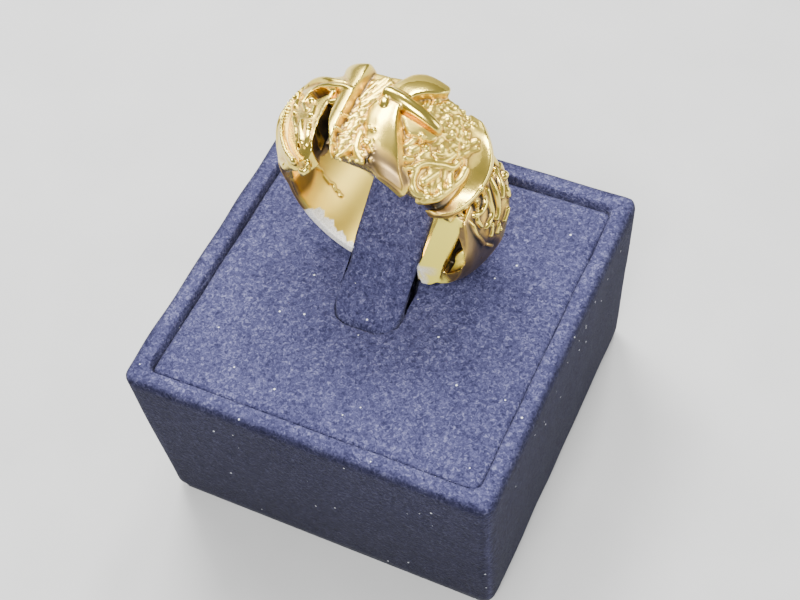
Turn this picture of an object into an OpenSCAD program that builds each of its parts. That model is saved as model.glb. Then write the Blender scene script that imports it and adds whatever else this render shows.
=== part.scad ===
// Wide cast gold saddle ring, shown upright on a small suede display stand.
// The stand rests on z = 0 and its middle is the origin. The ring's finger hole looks
// along Y, and the clip of the stand leans back through it.

/* [Stand] */
// Side of the stand at its top edge
stand_w = 50; // [46:0.5:56]
// Height of the stand with its base card
stand_h = 29; // [26:0.5:34]
// How much each side of the stand leans in towards the base
stand_lean = 1.1; // [0:0.1:2]
// Rounding of the stand's upright corners
stand_corner = 1.6; // [0.8:0.1:3]
// Width of the raised rim round the pad
rim_w = 2.7; // [2:0.1:4]
// Depth of the pad below the rim
pad_drop = 1; // [0.5:0.1:2]
// Thickness of the pad
pad_t = 7; // [5:0.5:9]
// Thickness of the base card
card_t = 1; // [0.8:0.1:1.5]

/* [Clip] */
// Width of the clip
clip_w = 9; // [8:0.1:10]
// Thickness of the padded clip
clip_t = 1.6; // [1.4:0.1:2]
// Slope of the clip, rising towards the back
clip_slope = 35; // [34:0.5:38]
// Where the clip's nose stands in the pad, measured back from the stand's middle
clip_nose_y = -6.6; // [-7.5:0.1:-6.2]
// Sideways place of the clip's middle
clip_x = -0.65; // [-1:0.05:-0.5]
// Length of the sloping part
clip_l = 25; // [22:0.5:26]

/* [Ring] */
// Inside diameter of the ring
finger_d = 20.2; // [19:0.1:21]
// Thickness of the band under the relief
band_t = 2.3; // [2:0.1:2.6]
// Thickness of the band behind the finger
shank_t = 1.3; // [1:0.1:1.6]
// Half the width of the band at the top
top_half_w = 8.3; // [7.5:0.1:8.6]
// Half the width of the band behind the finger
shank_half_w = 5.3; // [4.5:0.1:6]
// How far the ring's middle stands left of the stand's middle
ring_left = 3; // [2.5:0.1:3.5]
// How far the ring's middle stands behind the stand's middle
ring_back = 8.3; // [7.8:0.1:8.8]
// Turn of the ring on the stand, seen from above
ring_turn = -7; // [-10:1:0]

/* [Hidden] */

gap = 0.3;                       // clearance between neighbouring soft pieces
ring_gap = 0.1;                  // the ring lies this far above the pad
suede = "midnightblue";
finger_r = finger_d / 2;
band_r = finger_r + band_t;      // where the relief starts
pad_top = stand_h - pad_drop;
pocket_w = stand_w - 2 * rim_w;
pocket_floor = pad_top - pad_t - gap;
ring_z = pad_top + ring_gap + finger_r + shank_t;
root_r = band_r - 0.69;          // relief is rooted this deep in the band
bead_fn = 6;

function lerp(a, b, t) = a + (b - a) * t;
function clamp01(t) = max(0, min(1, t));
function ease(t) = let (c = clamp01(t)) c * c * (3 - 2 * c);

function unit(v) = v / norm(v);

// A point of the ring: angle round the finger from the right, place across the band
// and distance from the middle of the finger.
function on_ring(a, v, r) = [r * cos(a), v, r * sin(a)];

// How far an angle is from the middle of the ring's top, and the band's size there.
function from_top(a) = abs(((a - 90 + 540) % 360) - 180);
function half_w(a) = lerp(shank_half_w, top_half_w, ease((90 - from_top(a)) / 62));
// Thickness of the band by angle: full on top and down the right leg, thin below.
band_walls = [[0, band_t + 0.1], [60, band_t], [165, band_t], [188, shank_t],
              [285, shank_t], [312, band_t + 0.2], [360, band_t + 0.1]];

// Faces of a loft through sections of n points, the same number in each.
function loft_sides(rows, n, closed) = [
    for (i = [0 : rows - (closed ? 1 : 2)], j = [0 : n - 1])
        let (k = (i + 1) % rows, m = (j + 1) % n)
        each [[i * n + j, k * n + m, k * n + j], [i * n + j, i * n + m, k * n + m]]];
function loft_caps(rows, n) = [
    [for (j = [n - 1 : -1 : 0]) j],
    [for (j = [0 : n - 1]) (rows - 1) * n + j]];

module loft(sections, closed = false) {
    n = len(sections[0]);
    rows = len(sections);
    polyhedron(points = [for (s = sections) each s],
               faces = concat(loft_sides(rows, n, closed), closed ? [] : loft_caps(rows, n)),
               convexity = 8);
}

// The plain band, flared towards its outer edges at the top, where the relief sits.
module band() {
    step = 5;
    start = 2.4;
    side_round = 0.5;
    loft([for (a = [start + 360 - step : -step : start])
        let (w = half_w(a), r = finger_r + lookup(a, band_walls),
             flare = 1.1 * ease((75 - from_top(a)) / 40))
        [on_ring(a, -(w - flare), finger_r),
         on_ring(a, -w, r - side_round),
         on_ring(a, -(w - side_round), r),
         on_ring(a, w - side_round, r),
         on_ring(a, w, r - side_round),
         on_ring(a, w - flare, finger_r)]], closed = true);
}

// A saddle rim across the band. Each row is a place across the band: the angle of the
// domed foot, of the crest and of the steep foot, with the crest's and steep foot's radius.
module saddle_rim(rows) {
    V = 0; FOOT = 1; CREST = 2; CREST_R = 3; STEEP = 4; STEEP_R = 5;
    sections = [for (q = rows)
        let (shoulder = lerp(q[FOOT], q[CREST], 0.4), high = lerp(root_r + 0.8, q[CREST_R], 0.72),
             brow = lerp(q[FOOT], q[CREST], 0.75), brow_r = lerp(root_r + 0.8, q[CREST_R], 0.97))
        [on_ring(q[FOOT], q[V], root_r),
         on_ring(q[FOOT], q[V], root_r + 0.8),
         on_ring(shoulder, q[V], high),
         on_ring(brow, q[V], brow_r),
         on_ring(q[CREST], q[V], q[CREST_R]),
         on_ring(q[STEEP], q[V], q[STEEP_R]),
         on_ring(q[STEEP], q[V], root_r)]];
    left_foot = rows[0][FOOT] > rows[0][STEEP];
    loft(left_foot ? [for (s = sections) [for (i = [len(s) - 1 : -1 : 0]) s[i]]] : sections);
}

// Columns: across, domed foot, crest, crest radius, steep foot, steep foot radius.
first_rim = [            // the crest left of the middle, facing right
    [-8.2, 104, 96.5, 13.4, 95.0, 12.2],
    [-6.5, 108, 99.5, 13.8, 98.0, 12.2],
    [-4.5, 110, 101.8, 14.1, 100.3, 12.2],
    [-2.0, 112, 103.0, 14.2, 101.8, 12.2],
    [0.5, 114, 103.5, 14.3, 102.6, 12.2],
    [3.0, 119, 104.5, 14.3, 103.8, 12.2],
    [4.8, 125, 106.5, 14.2, 105.5, 12.2],
    [6.2, 130, 109.0, 14.0, 107.8, 12.2],
    [7.6, 128, 113.5, 13.4, 112.0, 12.2]];
middle_rim = [           // the crescent right of the middle, its horns pointing right
    [-8.2, 62, 53.5, 13.3, 51.0, 12.7],
    [-7.0, 70, 57.0, 13.6, 52.5, 12.9],
    [-5.5, 75.5, 63.0, 13.9, 57.5, 13.0],
    [-3.8, 81, 68.3, 14.1, 63.0, 13.1],
    [-1.5, 87, 74.7, 14.2, 70.0, 13.1],
    [1.0, 90, 78.0, 14.2, 76.0, 13.0],
    [2.8, 90.5, 77.5, 14.2, 76.3, 12.9],
    [4.3, 90, 73.5, 14.2, 72.5, 12.9],
    [5.6, 87.5, 67.5, 14.0, 66.5, 12.9],
    [6.6, 83, 61.0, 13.7, 60.0, 12.8],
    [7.6, 73, 59.0, 13.3, 58.0, 12.7]];
right_rim = [            // the crescent at the right, its horns pointing left
    [-6.8, 26, 29.0, 13.3, 32.0, 12.7],
    [-5.5, 22, 26.0, 13.9, 29.0, 12.8],
    [-3.5, 18.5, 23.5, 14.3, 27.3, 12.8],
    [-1.0, 15.5, 21.5, 14.6, 27.0, 12.8],
    [1.5, 15, 22.0, 14.7, 30.0, 12.8],
    [3.5, 16.5, 25.0, 14.7, 35.0, 12.8],
    [5.0, 19, 30.0, 14.5, 42.0, 12.8],
    [6.2, 24, 37.0, 14.1, 47.5, 12.8],
    [7.3, 33, 42.0, 13.4, 47.0, 12.6]];

// A smooth curve through three values, for t from 0 to 1.
function through(a, b, c, t) = a * (1 - t) * (1 - 2 * t) + 4 * b * t * (1 - t) + c * t * (2 * t - 1);

// A flap of a saddle, lofted across the band. Columns: across, near angle and radius,
// angle and radius of its middle, far angle and radius.
module flap(rows) {
    steps = 6;
    loft([for (q = rows)
        [on_ring(q[1], q[0], root_r),
         for (i = [0 : steps])
             let (t = i / steps)
             on_ring(through(q[1], q[3], q[5], t), q[0], through(q[2], q[4], q[6], t)),
         on_ring(q[5], q[0], root_r),
         on_ring(q[3], q[0], root_r)]]);
}

left_flap = [
    [-8.2, 106, 13.2, 124, 12.2, 141, 11.4],
    [-7.0, 107.5, 13.4, 128, 13.2, 148, 12.2],
    [-5.6, 109.5, 13.5, 130, 13.7, 153, 13.3],
    [-3.6, 112, 13.6, 132, 14.2, 156, 14.4],
    [-1.4, 115, 13.7, 133, 14.4, 157, 14.9],
    [0.6, 118, 13.8, 134, 14.5, 156, 15.0],
    [2.4, 112, 13.9, 132, 14.4, 154, 14.8],
    [3.4, 116, 13.4, 132, 14.2, 152, 14.5],
    [5.0, 122, 13.0, 133, 13.7, 149, 14.1],
    [6.4, 126, 12.8, 134, 13.3, 144, 13.4],
    [7.4, 126, 12.6, 132, 12.9, 138, 12.8]];
right_flap = [
    [-5.6, -37, 13.3, -16, 13.3, 8, 13.1],
    [-4.0, -36, 14.2, -14, 13.9, 12, 13.3],
    [-1.0, -34, 15.4, -12, 14.6, 16, 13.4],
    [2.0, -32, 16.2, -10, 15.0, 16, 13.4],
    [3.6, -29, 16.2, -8, 15.0, 15, 13.4],
    [5.0, -22, 15.3, -4, 14.9, 14, 13.4],
    [6.4, -12, 14.0, 2, 14.1, 13, 13.2],
    [7.2, -4, 13.0, 4, 13.2, 12, 12.9]];

// A round cord of metal along a path, six-sided, with a width at each of its points.
module cord(path, widths) {
    sides = 6;
    last = len(path) - 1;
    loft([for (i = [0 : last])
        let (along = unit(path[min(i + 1, last)] - path[max(i - 1, 0)]),
             out = unit([path[i][0], 0, path[i][2]]),
             side = unit(cross(along, out)),
             rise = cross(side, along))
        [for (j = [0 : sides - 1])
            path[i] + widths[i] / 2 * (cos(60 * j) * side + sin(60 * j) * rise)]]);
}

// The same through points of the ring: angle, across, radius, thickness.
module cord_through(points) {
    cord([for (q = points) on_ring(q[0], q[1], q[2])], [for (q = points) q[3]]);
}

left_edge = [            // the smooth roll round the left flap
    [129, 7.2, 12.7, 1.2], [138, 6.3, 13.4, 1.4], [146, 4.6, 14.1, 1.5], [151, 2.4, 14.6, 1.5],
    [153.5, 0.2, 14.8, 1.5], [154, -2.0, 14.6, 1.5], [153.5, -4.0, 13.9, 1.5],
    [151, -5.8, 12.9, 1.4], [147, -7.0, 12.0, 1.3], [140, -7.9, 11.5, 1.1]];
left_bar = [[146, 4.3, 14.2, 1.3], [133, 2.5, 14.3, 1.4], [120, 2.0, 14.2, 1.4],
            [110, 1.6, 14.2, 1.2], [104, 1.3, 14.2, 1]];
right_bar = [[87, 2.1, 14.0, 1.6], [76, 2.1, 14.0, 1.8], [66, 2.4, 13.9, 1.8],
             [58, 2.4, 13.7, 1.8], [52, 1.4, 13.4, 2], [49, -0.2, 13.0, 2]];
bar_cross = [[84.6, 2.3, 14.0, 1.2], [83, 0.9, 14.0, 1.5], [80.3, -0.5, 13.9, 1.3]];
inner_rim = [[35, 1.8, 13.0, 1.4], [32, -1.0, 13.3, 1.8], [32, -3.4, 13.3, 2],
             [34, -5.2, 13.1, 1.8], [38, -6.8, 12.6, 1.3]];
fan_line = [[57, -3.9, 12.9, 0.8], [55, -1.8, 13.1, 0.8], [49, -0.9, 13.2, 0.8],
            [41, 0.4, 13.2, 1], [34, 2.6, 13.2, 1]];

// Curls of the relief: angle, across, radius, size, turn and hand.
curls = [
    [48, -4.4, 12.6, 1.7, 60, 1], [58, -0.4, 12.6, 1.1, 200, -1], [46, 4.2, 12.6, 1.2, 20, 1],
    [55, 5.2, 12.6, 1, 120, -1], [44, 1.6, 12.6, 0.9, 300, 1], [41, -2.0, 12.6, 1, 160, -1],
    [93, 3.2, 12.5, 1.2, 40, 1], [96, -1.2, 12.6, 1, 200, -1], [89, -5.6, 12.6, 1.1, 320, 1],
    [136, 1.2, 14.2, 1.3, 10, 1], [127, -2.6, 14.1, 1.4, 240, -1], [136, -4.0, 14.0, 1.3, 60, 1],
    [121, -5.8, 13.6, 1.1, 300, -1], [141, -1.4, 14.5, 1, 180, 1],
    [8, 0.0, 13.7, 1.9, 90, 1], [-4, 1.2, 14.3, 1.8, 250, -1], [12, 4.2, 13.5, 1.2, 0, 1],
    [-15, 4.2, 15.0, 1.4, 120, 1], [-18, 0.6, 15.1, 1.5, 30, -1], [1, 4.6, 14.1, 1.2, 200, 1]];

module curl(q) {
    turns = 0.88;
    n = 8;
    cord([for (i = [0 : n])
             let (w = q[4] + q[5] * 360 * turns * i / n, rad = q[3] * (1 - 0.5 * i / n))
             on_ring(q[0] + rad * cos(w) / q[2] * 180 / PI, q[1] + rad * sin(w), q[2])],
         [for (i = [0 : n]) lerp(0.9, 0.5, i / n)]);
}

// Short strokes of the plain field between the two saddles.
module field_strokes() {
    rows = 5;
    for (i = [0 : rows - 1], s = [0, 1])
        let (v = lerp(-7, 6.4, (i + 0.5 * s) / (rows - 0.4)), a = 97 - 7 * s - 0.35 * v)
        hull() for (k = [-1, 1])
            translate(on_ring(a + k * 3, v + k * 0.6, band_r + 0.1)) sphere(d = 0.8, $fn = bead_fn);
}

module beads() {
    n = 13;
    for (i = [0 : n - 1])
        let (t = i / (n - 1), v = lerp(5.2, -6.4, t), bow = 1 - pow((v + 0.6) / 6.5, 2))
        translate(on_ring(lerp(134, 147.5, bow), v, lerp(13.1, 14.7, bow)))
            sphere(d = 1.06, $fn = bead_fn);
}

// The open pocket in the front of the right leg, between the rim and the flap.
module pocket() {
    hull() for (q = [[2, -6.2, 13.2], [-30, -6.2, 13.1], [-14, -6.2, 14.4],
                     [-4, -1.6, 13.4], [-24, -1.6, 13.6], [-14, -1.6, 14.0]])
        translate(on_ring(q[0], q[1], q[2])) sphere(d = 0.5, $fn = bead_fn);
}

// Dark pits in the open work: angle, across, radius, size.
pits = [[131, 3.6, 13.9, 1.6], [124, -6.6, 13.4, 1.4], [24.3, 0.5, 13.2, 1.5], [44, -5.4, 12.9, 1.1],
        [86.5, -7.2, 12.6, 1]];

module ring() {
    color("goldenrod")
    translate([-ring_left, ring_back, ring_z])
    rotate([0, 0, ring_turn])
    difference() {
        union() {
            band();
            for (r = [first_rim, middle_rim, right_rim]) saddle_rim(r);
            flap(left_flap);
            flap(right_flap);
            for (c = [left_edge, left_bar, right_bar, bar_cross, inner_rim, fan_line]) cord_through(c);
            for (q = curls) curl(q);
            field_strokes();
            beads();
        }
        pocket();
        for (q = pits) translate(on_ring(q[0], q[1], q[2])) sphere(d = q[3], $fn = bead_fn);
    }
}

// A square with round corners, made of plain squares and circles.
module round_square(w, r) {
    square([w, w - 2 * r], center = true);
    square([w - 2 * r, w], center = true);
    for (x = [-1, 1], y = [-1, 1])
        translate([x * (w / 2 - r), y * (w / 2 - r)]) circle(r, $fn = 32);
}

// The covered box: sides that lean in a little, and a pocket for the pad.
module stand_block() {
    foot_w = stand_w - 2 * stand_lean;
    body_h = stand_h - card_t;
    color(suede)
    difference() {
        translate([0, 0, card_t])
            linear_extrude(body_h, scale = stand_w / foot_w)
                round_square(foot_w, stand_corner * foot_w / stand_w);
        translate([-pocket_w / 2, -pocket_w / 2, pocket_floor])
            cube([pocket_w, pocket_w, stand_h]);
    }
}

module stand_pad() {
    pad_w = pocket_w - 2 * gap;
    slot_l = 3.4 + 2 * gap;
    color(suede)
    difference() {
        translate([0, 0, pad_top - pad_t]) linear_extrude(pad_t) round_square(pad_w, 0.8);
        translate([clip_x - clip_w / 2 - gap, clip_nose_y - gap, pad_top - pad_t - 1])
            cube([clip_w + 2 * gap, slot_l, pad_t + 2]);
    }
}

// The clip's side view: up out of the pad, over a round nose, then straight up the slope.
nose_r = 2;
clip_rise = [cos(clip_slope), sin(clip_slope)];
clip_bend = [clip_nose_y + nose_r, pad_top - 1.35];
clip_under = clip_bend + (nose_r - clip_t) * [-clip_rise[1], clip_rise[0]];

module clip_side() {
    steps = 8;
    root = pad_top - pad_t + 0.5;
    turn = 90 - clip_slope;
    corner_y = clip_nose_y + clip_t;
    corner_z = clip_under[1] + (corner_y - clip_under[0]) * tan(clip_slope);
    middle = clip_under + clip_l * clip_rise + clip_t / 2 * [-clip_rise[1], clip_rise[0]];
    polygon(concat(
        [[clip_nose_y, root]],
        [for (i = [0 : steps]) let (t = 180 - turn * i / steps) clip_bend + nose_r * [cos(t), sin(t)]],
        [for (i = [0 : steps]) let (t = 90 + clip_slope - 180 * i / steps)
            middle + clip_t / 2 * [cos(t), sin(t)]],
        [[corner_y, corner_z], [corner_y, root]]));
}

module ring_clip() {
    plan_r = 2.6;
    edge = 0.68 * clip_t;
    color(suede)
    translate([clip_x, 0, 0])
    difference() {
        intersection() {
            rotate([90, 0, 90]) translate([0, 0, -clip_w / 2]) linear_extrude(clip_w) clip_side();
            translate([0, clip_nose_y, 0]) linear_extrude(2 * stand_h) {
                translate([-clip_w / 2, plan_r]) square([clip_w, 2 * clip_l]);
                translate([-clip_w / 2 + plan_r, 0]) square([clip_w - 2 * plan_r, 2 * plan_r]);
                for (x = [-1, 1])
                    translate([x * (clip_w / 2 - plan_r), plan_r]) circle(plan_r, $fn = 32);
            }
        }
        // The long lower edges are slanted, where the band closes in on them.
        for (x = [-1, 1])
            translate([x * clip_w / 2, clip_under[0], clip_under[1]])
                rotate([clip_slope, 0, 0]) rotate([0, 45, 0])
                    translate([-edge / sqrt(2), -1, -edge / sqrt(2)])
                        cube([edge * sqrt(2), clip_l + 4, edge * sqrt(2)]);
    }
}

module base_card() {
    card_w = stand_w - 2 * stand_lean - 1;
    color("black")
    linear_extrude(card_t) round_square(card_w, stand_corner);
}

ring();
stand_block();
stand_pad();
ring_clip();
base_card();
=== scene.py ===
# %% [markdown]
# # A gold saddle ring on its suede stand
#
# The real object is one wide cast ring, covered with saddles, straps and scrolls in relief, and the
# small suede-covered block that holds it up by a slanting clip. The solids come packed from the CAD
# model. This lesson dresses them: the ring gets its full relief in mesh, and the block, pad and clip
# become soft, napped pieces. Every piece stays where its solid is.

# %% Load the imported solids
import math

import bpy
import numpy as np
from mathutils import Euler, Matrix, Vector
from mathutils.bvhtree import BVHTree


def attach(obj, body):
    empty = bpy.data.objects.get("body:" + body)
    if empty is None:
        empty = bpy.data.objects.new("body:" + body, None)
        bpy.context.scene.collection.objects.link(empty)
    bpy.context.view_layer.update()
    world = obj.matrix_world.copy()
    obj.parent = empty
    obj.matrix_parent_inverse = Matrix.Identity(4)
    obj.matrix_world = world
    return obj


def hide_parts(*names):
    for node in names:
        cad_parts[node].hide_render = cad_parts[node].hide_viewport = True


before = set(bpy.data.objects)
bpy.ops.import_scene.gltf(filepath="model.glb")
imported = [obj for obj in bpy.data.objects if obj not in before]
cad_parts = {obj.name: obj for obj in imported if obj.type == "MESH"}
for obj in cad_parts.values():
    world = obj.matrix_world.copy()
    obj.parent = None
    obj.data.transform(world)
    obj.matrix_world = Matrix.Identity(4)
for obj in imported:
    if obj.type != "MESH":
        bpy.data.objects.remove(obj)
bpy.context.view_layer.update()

MM = 0.001

# %% [markdown]
# ## Helpers for every piece
#
# An operator works on whatever is selected, so each step first selects one object alone. A modifier
# is applied straight away, so that the next step works on real vertices.

# %% Select one object, and apply a modifier to it
def select_only(obj):
    bpy.ops.object.select_all(action="DESELECT")
    obj.select_set(True)
    bpy.context.view_layer.objects.active = obj


def apply(obj, kind, **values):
    select_only(obj)
    modifier = obj.modifiers.new(kind.lower(), kind)
    for key, value in values.items():
        setattr(modifier, key, value)
    bpy.ops.object.modifier_apply(modifier=modifier.name)
    return obj


def join(pieces, name):
    bpy.ops.object.select_all(action="DESELECT")
    for piece in pieces:
        piece.select_set(True)
    bpy.context.view_layer.objects.active = pieces[0]
    bpy.ops.object.join()
    pieces[0].name = name
    return pieces[0]


def points_of(obj):
    co = np.empty(len(obj.data.vertices) * 3)
    obj.data.vertices.foreach_get("co", co)
    return co.reshape(-1, 3)


def move_points(obj, co):
    obj.data.vertices.foreach_set("co", np.asarray(co, float).ravel())
    obj.data.update()


def face_outwards(obj):
    select_only(obj)
    bpy.ops.object.mode_set(mode="EDIT")
    bpy.ops.mesh.select_all(action="SELECT")
    bpy.ops.mesh.normals_make_consistent(inside=False)
    bpy.ops.object.mode_set(mode="OBJECT")
    return obj


def report(obj):
    size = points_of(obj).max(0) - points_of(obj).min(0)
    obj.data.calc_loop_triangles()
    print(f"{obj.name}: {len(obj.data.loop_triangles)} triangles, size {np.round(size, 4)}")
    return obj


print("helpers ready")

# %% [markdown]
# ## The camera
#
# The photograph looks down on the stand from its front right. The camera is put there first, so that
# each piece can be looked at as it is made.

# %% Put the camera where the photograph was taken
CAMERA_PLACE, CAMERA_ANGLES = (0.0593, -0.09514, 0.18297), (35.19, 4.447, 24.856)
camera_data = bpy.data.cameras.new("camera")
camera_data.sensor_width = 36
camera_data.lens = 67.5
camera_data.clip_start = 0.01
camera = bpy.data.objects.new("camera", camera_data)
bpy.context.scene.collection.objects.link(camera)
camera.location = CAMERA_PLACE
camera.rotation_euler = Euler([math.radians(a) for a in CAMERA_ANGLES])
bpy.context.scene.camera = camera
print("camera at", [round(c, 4) for c in camera.location])

# %% [markdown]
# ## How the ring is measured
#
# A ring is easiest to describe by three numbers: the angle round the finger, the place across the
# band, and the distance from the middle of the finger. The ring is modelled in millimetres round its
# own middle, and takes its place in the clip when it is finished.

# %% Points of the ring from angle, place across and radius
RING_MIDDLE = Vector((-0.003, 0.0083, 0.0395))
RING_TURN = math.radians(-7)
FINGER_R = 10.1
ROOT_R = 11.7


def on_ring(angle, across, radius):
    a = np.radians(angle)
    return np.stack(np.broadcast_arrays(radius * np.cos(a), across, radius * np.sin(a)), -1)


def blend_rows(rows, count):
    """Rows of a table, made into more rows by a smooth curve through them."""
    rows = np.asarray(rows, float)
    last = len(rows) - 1
    t = np.linspace(0, last, count)
    i = np.clip(t.astype(int), 0, last - 1)
    f = (t - i)[:, None]
    a, b = rows[np.maximum(i - 1, 0)], rows[i]
    c, d = rows[i + 1], rows[np.minimum(i + 2, last)]
    return 0.5 * (2 * b + (c - a) * f + (2 * a - 5 * b + 4 * c - d) * f**2
                  + (3 * b - a - 3 * c + d) * f**3)


print("top of the bare ring:", on_ring(90, 0, FINGER_R))

# %% [markdown]
# ## A ball that becomes a loft
#
# Saddles and flaps are long closed forms whose section changes along them. Each starts as a ball: its
# rings of latitude are slid onto the sections, and its two poles close the ends. That gives clean
# closed forms that face outwards once their normals are recalculated.

# %% Slide the rings of a ball onto sections
def ball_to_sections(name, sections):
    """A closed form from its sections: a list of loops that all have the same number of points."""
    sections = np.asarray(sections, float)
    rings, around = sections.shape[:2]
    bpy.ops.mesh.primitive_uv_sphere_add(segments=around, ring_count=rings + 1, radius=1)
    ball = bpy.context.active_object
    ball.name = name
    co = points_of(ball)
    ring = np.rint(np.degrees(np.arccos(np.clip(co[:, 2], -1, 1))) / (180 / (rings + 1))).astype(int)
    turn = np.degrees(np.arctan2(co[:, 1], co[:, 0])) % 360
    turn = np.rint(turn / (360 / around)).astype(int) % around
    new = sections[np.clip(ring - 1, 0, rings - 1), turn]
    new[ring == 0] = sections[0].mean(0)
    new[ring == rings + 1] = sections[-1].mean(0)
    move_points(ball, new)
    return face_outwards(ball)


print("lofts are ready")

# %% [markdown]
# ## The band
#
# The band is one hoop. Its wall is full on top and down the right leg, and thin down the left leg and
# below, and its sides flare outwards under the relief. A ring primitive has a closed grid of points
# already, so its section is reshaped all the way round.

# %% Shape a hoop primitive into the band
# Columns: angle, outside radius, front edge and back edge of the outside, front and back of the inside.
BAND = [
    (0, 12.9, -4.5, 5.6, -4.2, 5.4), (20, 12.9, -4.4, 5.9, -4.1, 5.6), (33, 12.8, -5.4, 6.2, -4.9, 5.8),
    (48, 12.7, -6.4, 6.6, -5.9, 6.1), (60, 12.7, -7.0, 7.0, -6.4, 6.4), (72, 12.7, -7.2, 6.9, -6.6, 6.4),
    (84, 12.7, -7.6, 6.2, -6.9, 5.9), (96, 12.7, -7.8, 5.6, -7.0, 5.4), (112, 12.7, -8.2, 5.7, -7.1, 5.4),
    (134, 12.6, -7.3, 5.6, -6.5, 5.4), (155, 12.3, -6.4, 5.5, -5.9, 5.4),
    (175, 12.0, -5.8, 5.5, -5.5, 5.3), (188, 11.35, -5.6, 5.5, -5.4, 5.3),
    (230, 11.3, -5.5, 5.4, -5.3, 5.2), (270, 11.3, -5.4, 5.3, -5.2, 5.1),
    (288, 11.35, -5.5, 5.3, -5.3, 5.1), (304, 12.4, -5.7, 5.4, -5.5, 5.2),
    (318, 12.9, -5.8, 5.5, -5.6, 5.3), (340, 12.9, -5.2, 5.6, -5.0, 5.4),
    (360, 12.9, -4.5, 5.6, -4.2, 5.4)]


def band_row(angle):
    table = np.array(BAND)
    return [np.interp(np.asarray(angle) % 360, table[:, 0], table[:, k]) for k in range(1, 6)]


def make_band():
    around, section = 180, 24
    squareness, fullness = 0.22, 1.02
    bpy.ops.mesh.primitive_torus_add(major_segments=around, minor_segments=section,
                                     major_radius=10, minor_radius=1)
    hoop = bpy.context.active_object
    hoop.name = "ring_band"
    co = points_of(hoop)
    angle = np.degrees(np.arctan2(co[:, 1], co[:, 0])) % 360
    turn = np.arctan2(co[:, 2], np.hypot(co[:, 0], co[:, 1]) - 10)
    outside, front, back, in_front, in_back = band_row(angle)
    # The section is a rectangle with round corners: high runs from inside to outside, side to back.
    high, side = [np.clip(np.sign(part) * np.abs(part) ** squareness * fullness, -1, 1) * 0.5 + 0.5
                  for part in (np.cos(turn), np.sin(turn))]
    near = in_front + (front - in_front) * high
    far = in_back + (back - in_back) * high
    move_points(hoop, on_ring(angle, near + (far - near) * side,
                              FINGER_R + (outside - FINGER_R) * high))
    return face_outwards(hoop)


band = report(make_band())

# %% [markdown]
# ## The saddle rims
#
# Three rims stand up across the band, like the high front and back of a saddle. Each is smooth and
# domed on one side and falls steeply on the other. A section of it is drawn from five sizes at each
# place across the band, and smooth curves join the sections.

# %% Loft the three saddle rims
# Columns: place across, angle of the domed foot, of the crest, crest radius, steep foot, its radius.
FIRST_RIM = [
    (-8.3, 102, 95.0, 13.1, 93.3, 12.0), (-6.5, 106, 97.8, 13.8, 96.0, 12.2),
    (-4.5, 109.5, 100.4, 14.1, 99.0, 12.2), (-2.0, 113, 102.4, 14.2, 101.0, 12.2),
    (0.5, 116, 104.4, 14.3, 103.2, 12.2), (3.0, 121, 105.8, 14.3, 104.6, 12.2),
    (4.4, 126, 106.7, 14.3, 105.5, 12.2), (5.4, 128, 107.8, 14.1, 106.6, 12.2),
    (6.2, 126, 110.0, 13.2, 108.6, 12.2)]
MIDDLE_RIM = [
    (-7.6, 66, 51.5, 13.0, 49.0, 12.6), (-7.1, 72, 53.0, 13.4, 49.0, 12.8),
    (-6.5, 77, 57.0, 13.8, 50.0, 13.0), (-5.3, 82, 62.5, 14.0, 56.0, 13.1),
    (-3.6, 87, 68.0, 14.15, 62.5, 13.1), (-1.5, 92, 74.0, 14.3, 69.0, 13.1),
    (1.0, 93, 78.5, 14.3, 75.5, 13.0), (2.8, 91.5, 77.3, 14.2, 76.0, 12.9),
    (4.3, 90.5, 73.4, 14.2, 72.4, 12.9), (5.6, 88.5, 67.5, 14.1, 66.5, 12.9),
    (6.8, 86, 64, 13.8, 63.0, 12.8), (7.7, 81, 65.0, 13.4, 64.0, 12.7)]
RIGHT_RIM = [
    (-6.1, 28, 30.0, 12.9, 33.0, 12.6), (-5.2, 22.5, 26.5, 13.8, 29.5, 12.8),
    (-3.5, 18.5, 23.5, 14.3, 27.0, 12.8), (-1.0, 15.5, 21.5, 14.6, 26.8, 12.8),
    (1.5, 15, 22.0, 14.7, 30.0, 12.8), (3.5, 16.5, 25.0, 14.7, 36.0, 12.8),
    (5.0, 19, 30.0, 14.5, 42.5, 12.8), (6.2, 24, 37.0, 14.1, 47.5, 12.8),
    (7.4, 33, 42.0, 13.3, 47.0, 12.6)]
ROWS_ACROSS = 44
RIM_WALL = 0.7  # height of a rim's domed foot over its root


def make_rim(name, table):
    rows = blend_rows(table, ROWS_ACROSS)
    dome = np.linspace(0, 1, 12)
    sections = []
    for across, foot, crest, crest_r, steep, steep_r in rows:
        low = ROOT_R + RIM_WALL
        angles = list(foot + (crest - foot) * (1 - np.cos(dome * math.pi / 2)) ** 0.9)
        radii = list(low + (crest_r - low) * np.sin(dome * math.pi / 2) ** 0.7)
        lip = np.sign(crest - foot) * 0.5
        angles += [crest + lip * 0.6, crest + lip, steep, steep, (foot + steep) / 2, foot]
        radii += [crest_r - 0.05, crest_r - 0.2, steep_r, ROOT_R, ROOT_R, ROOT_R]
        sections.append(on_ring(np.array(angles), across, np.array(radii)))
    return ball_to_sections(name, sections)


rims = [report(make_rim(n, t)) for n, t in
        (("rim_first", FIRST_RIM), ("rim_middle", MIDDLE_RIM), ("rim_right", RIGHT_RIM))]

# %% [markdown]
# ## The flaps
#
# Left and right, a flap hangs from the saddles and stands away from the band at its free end, like the
# skirt of a saddle. Each is a thick plate that bends with the finger.

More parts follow.
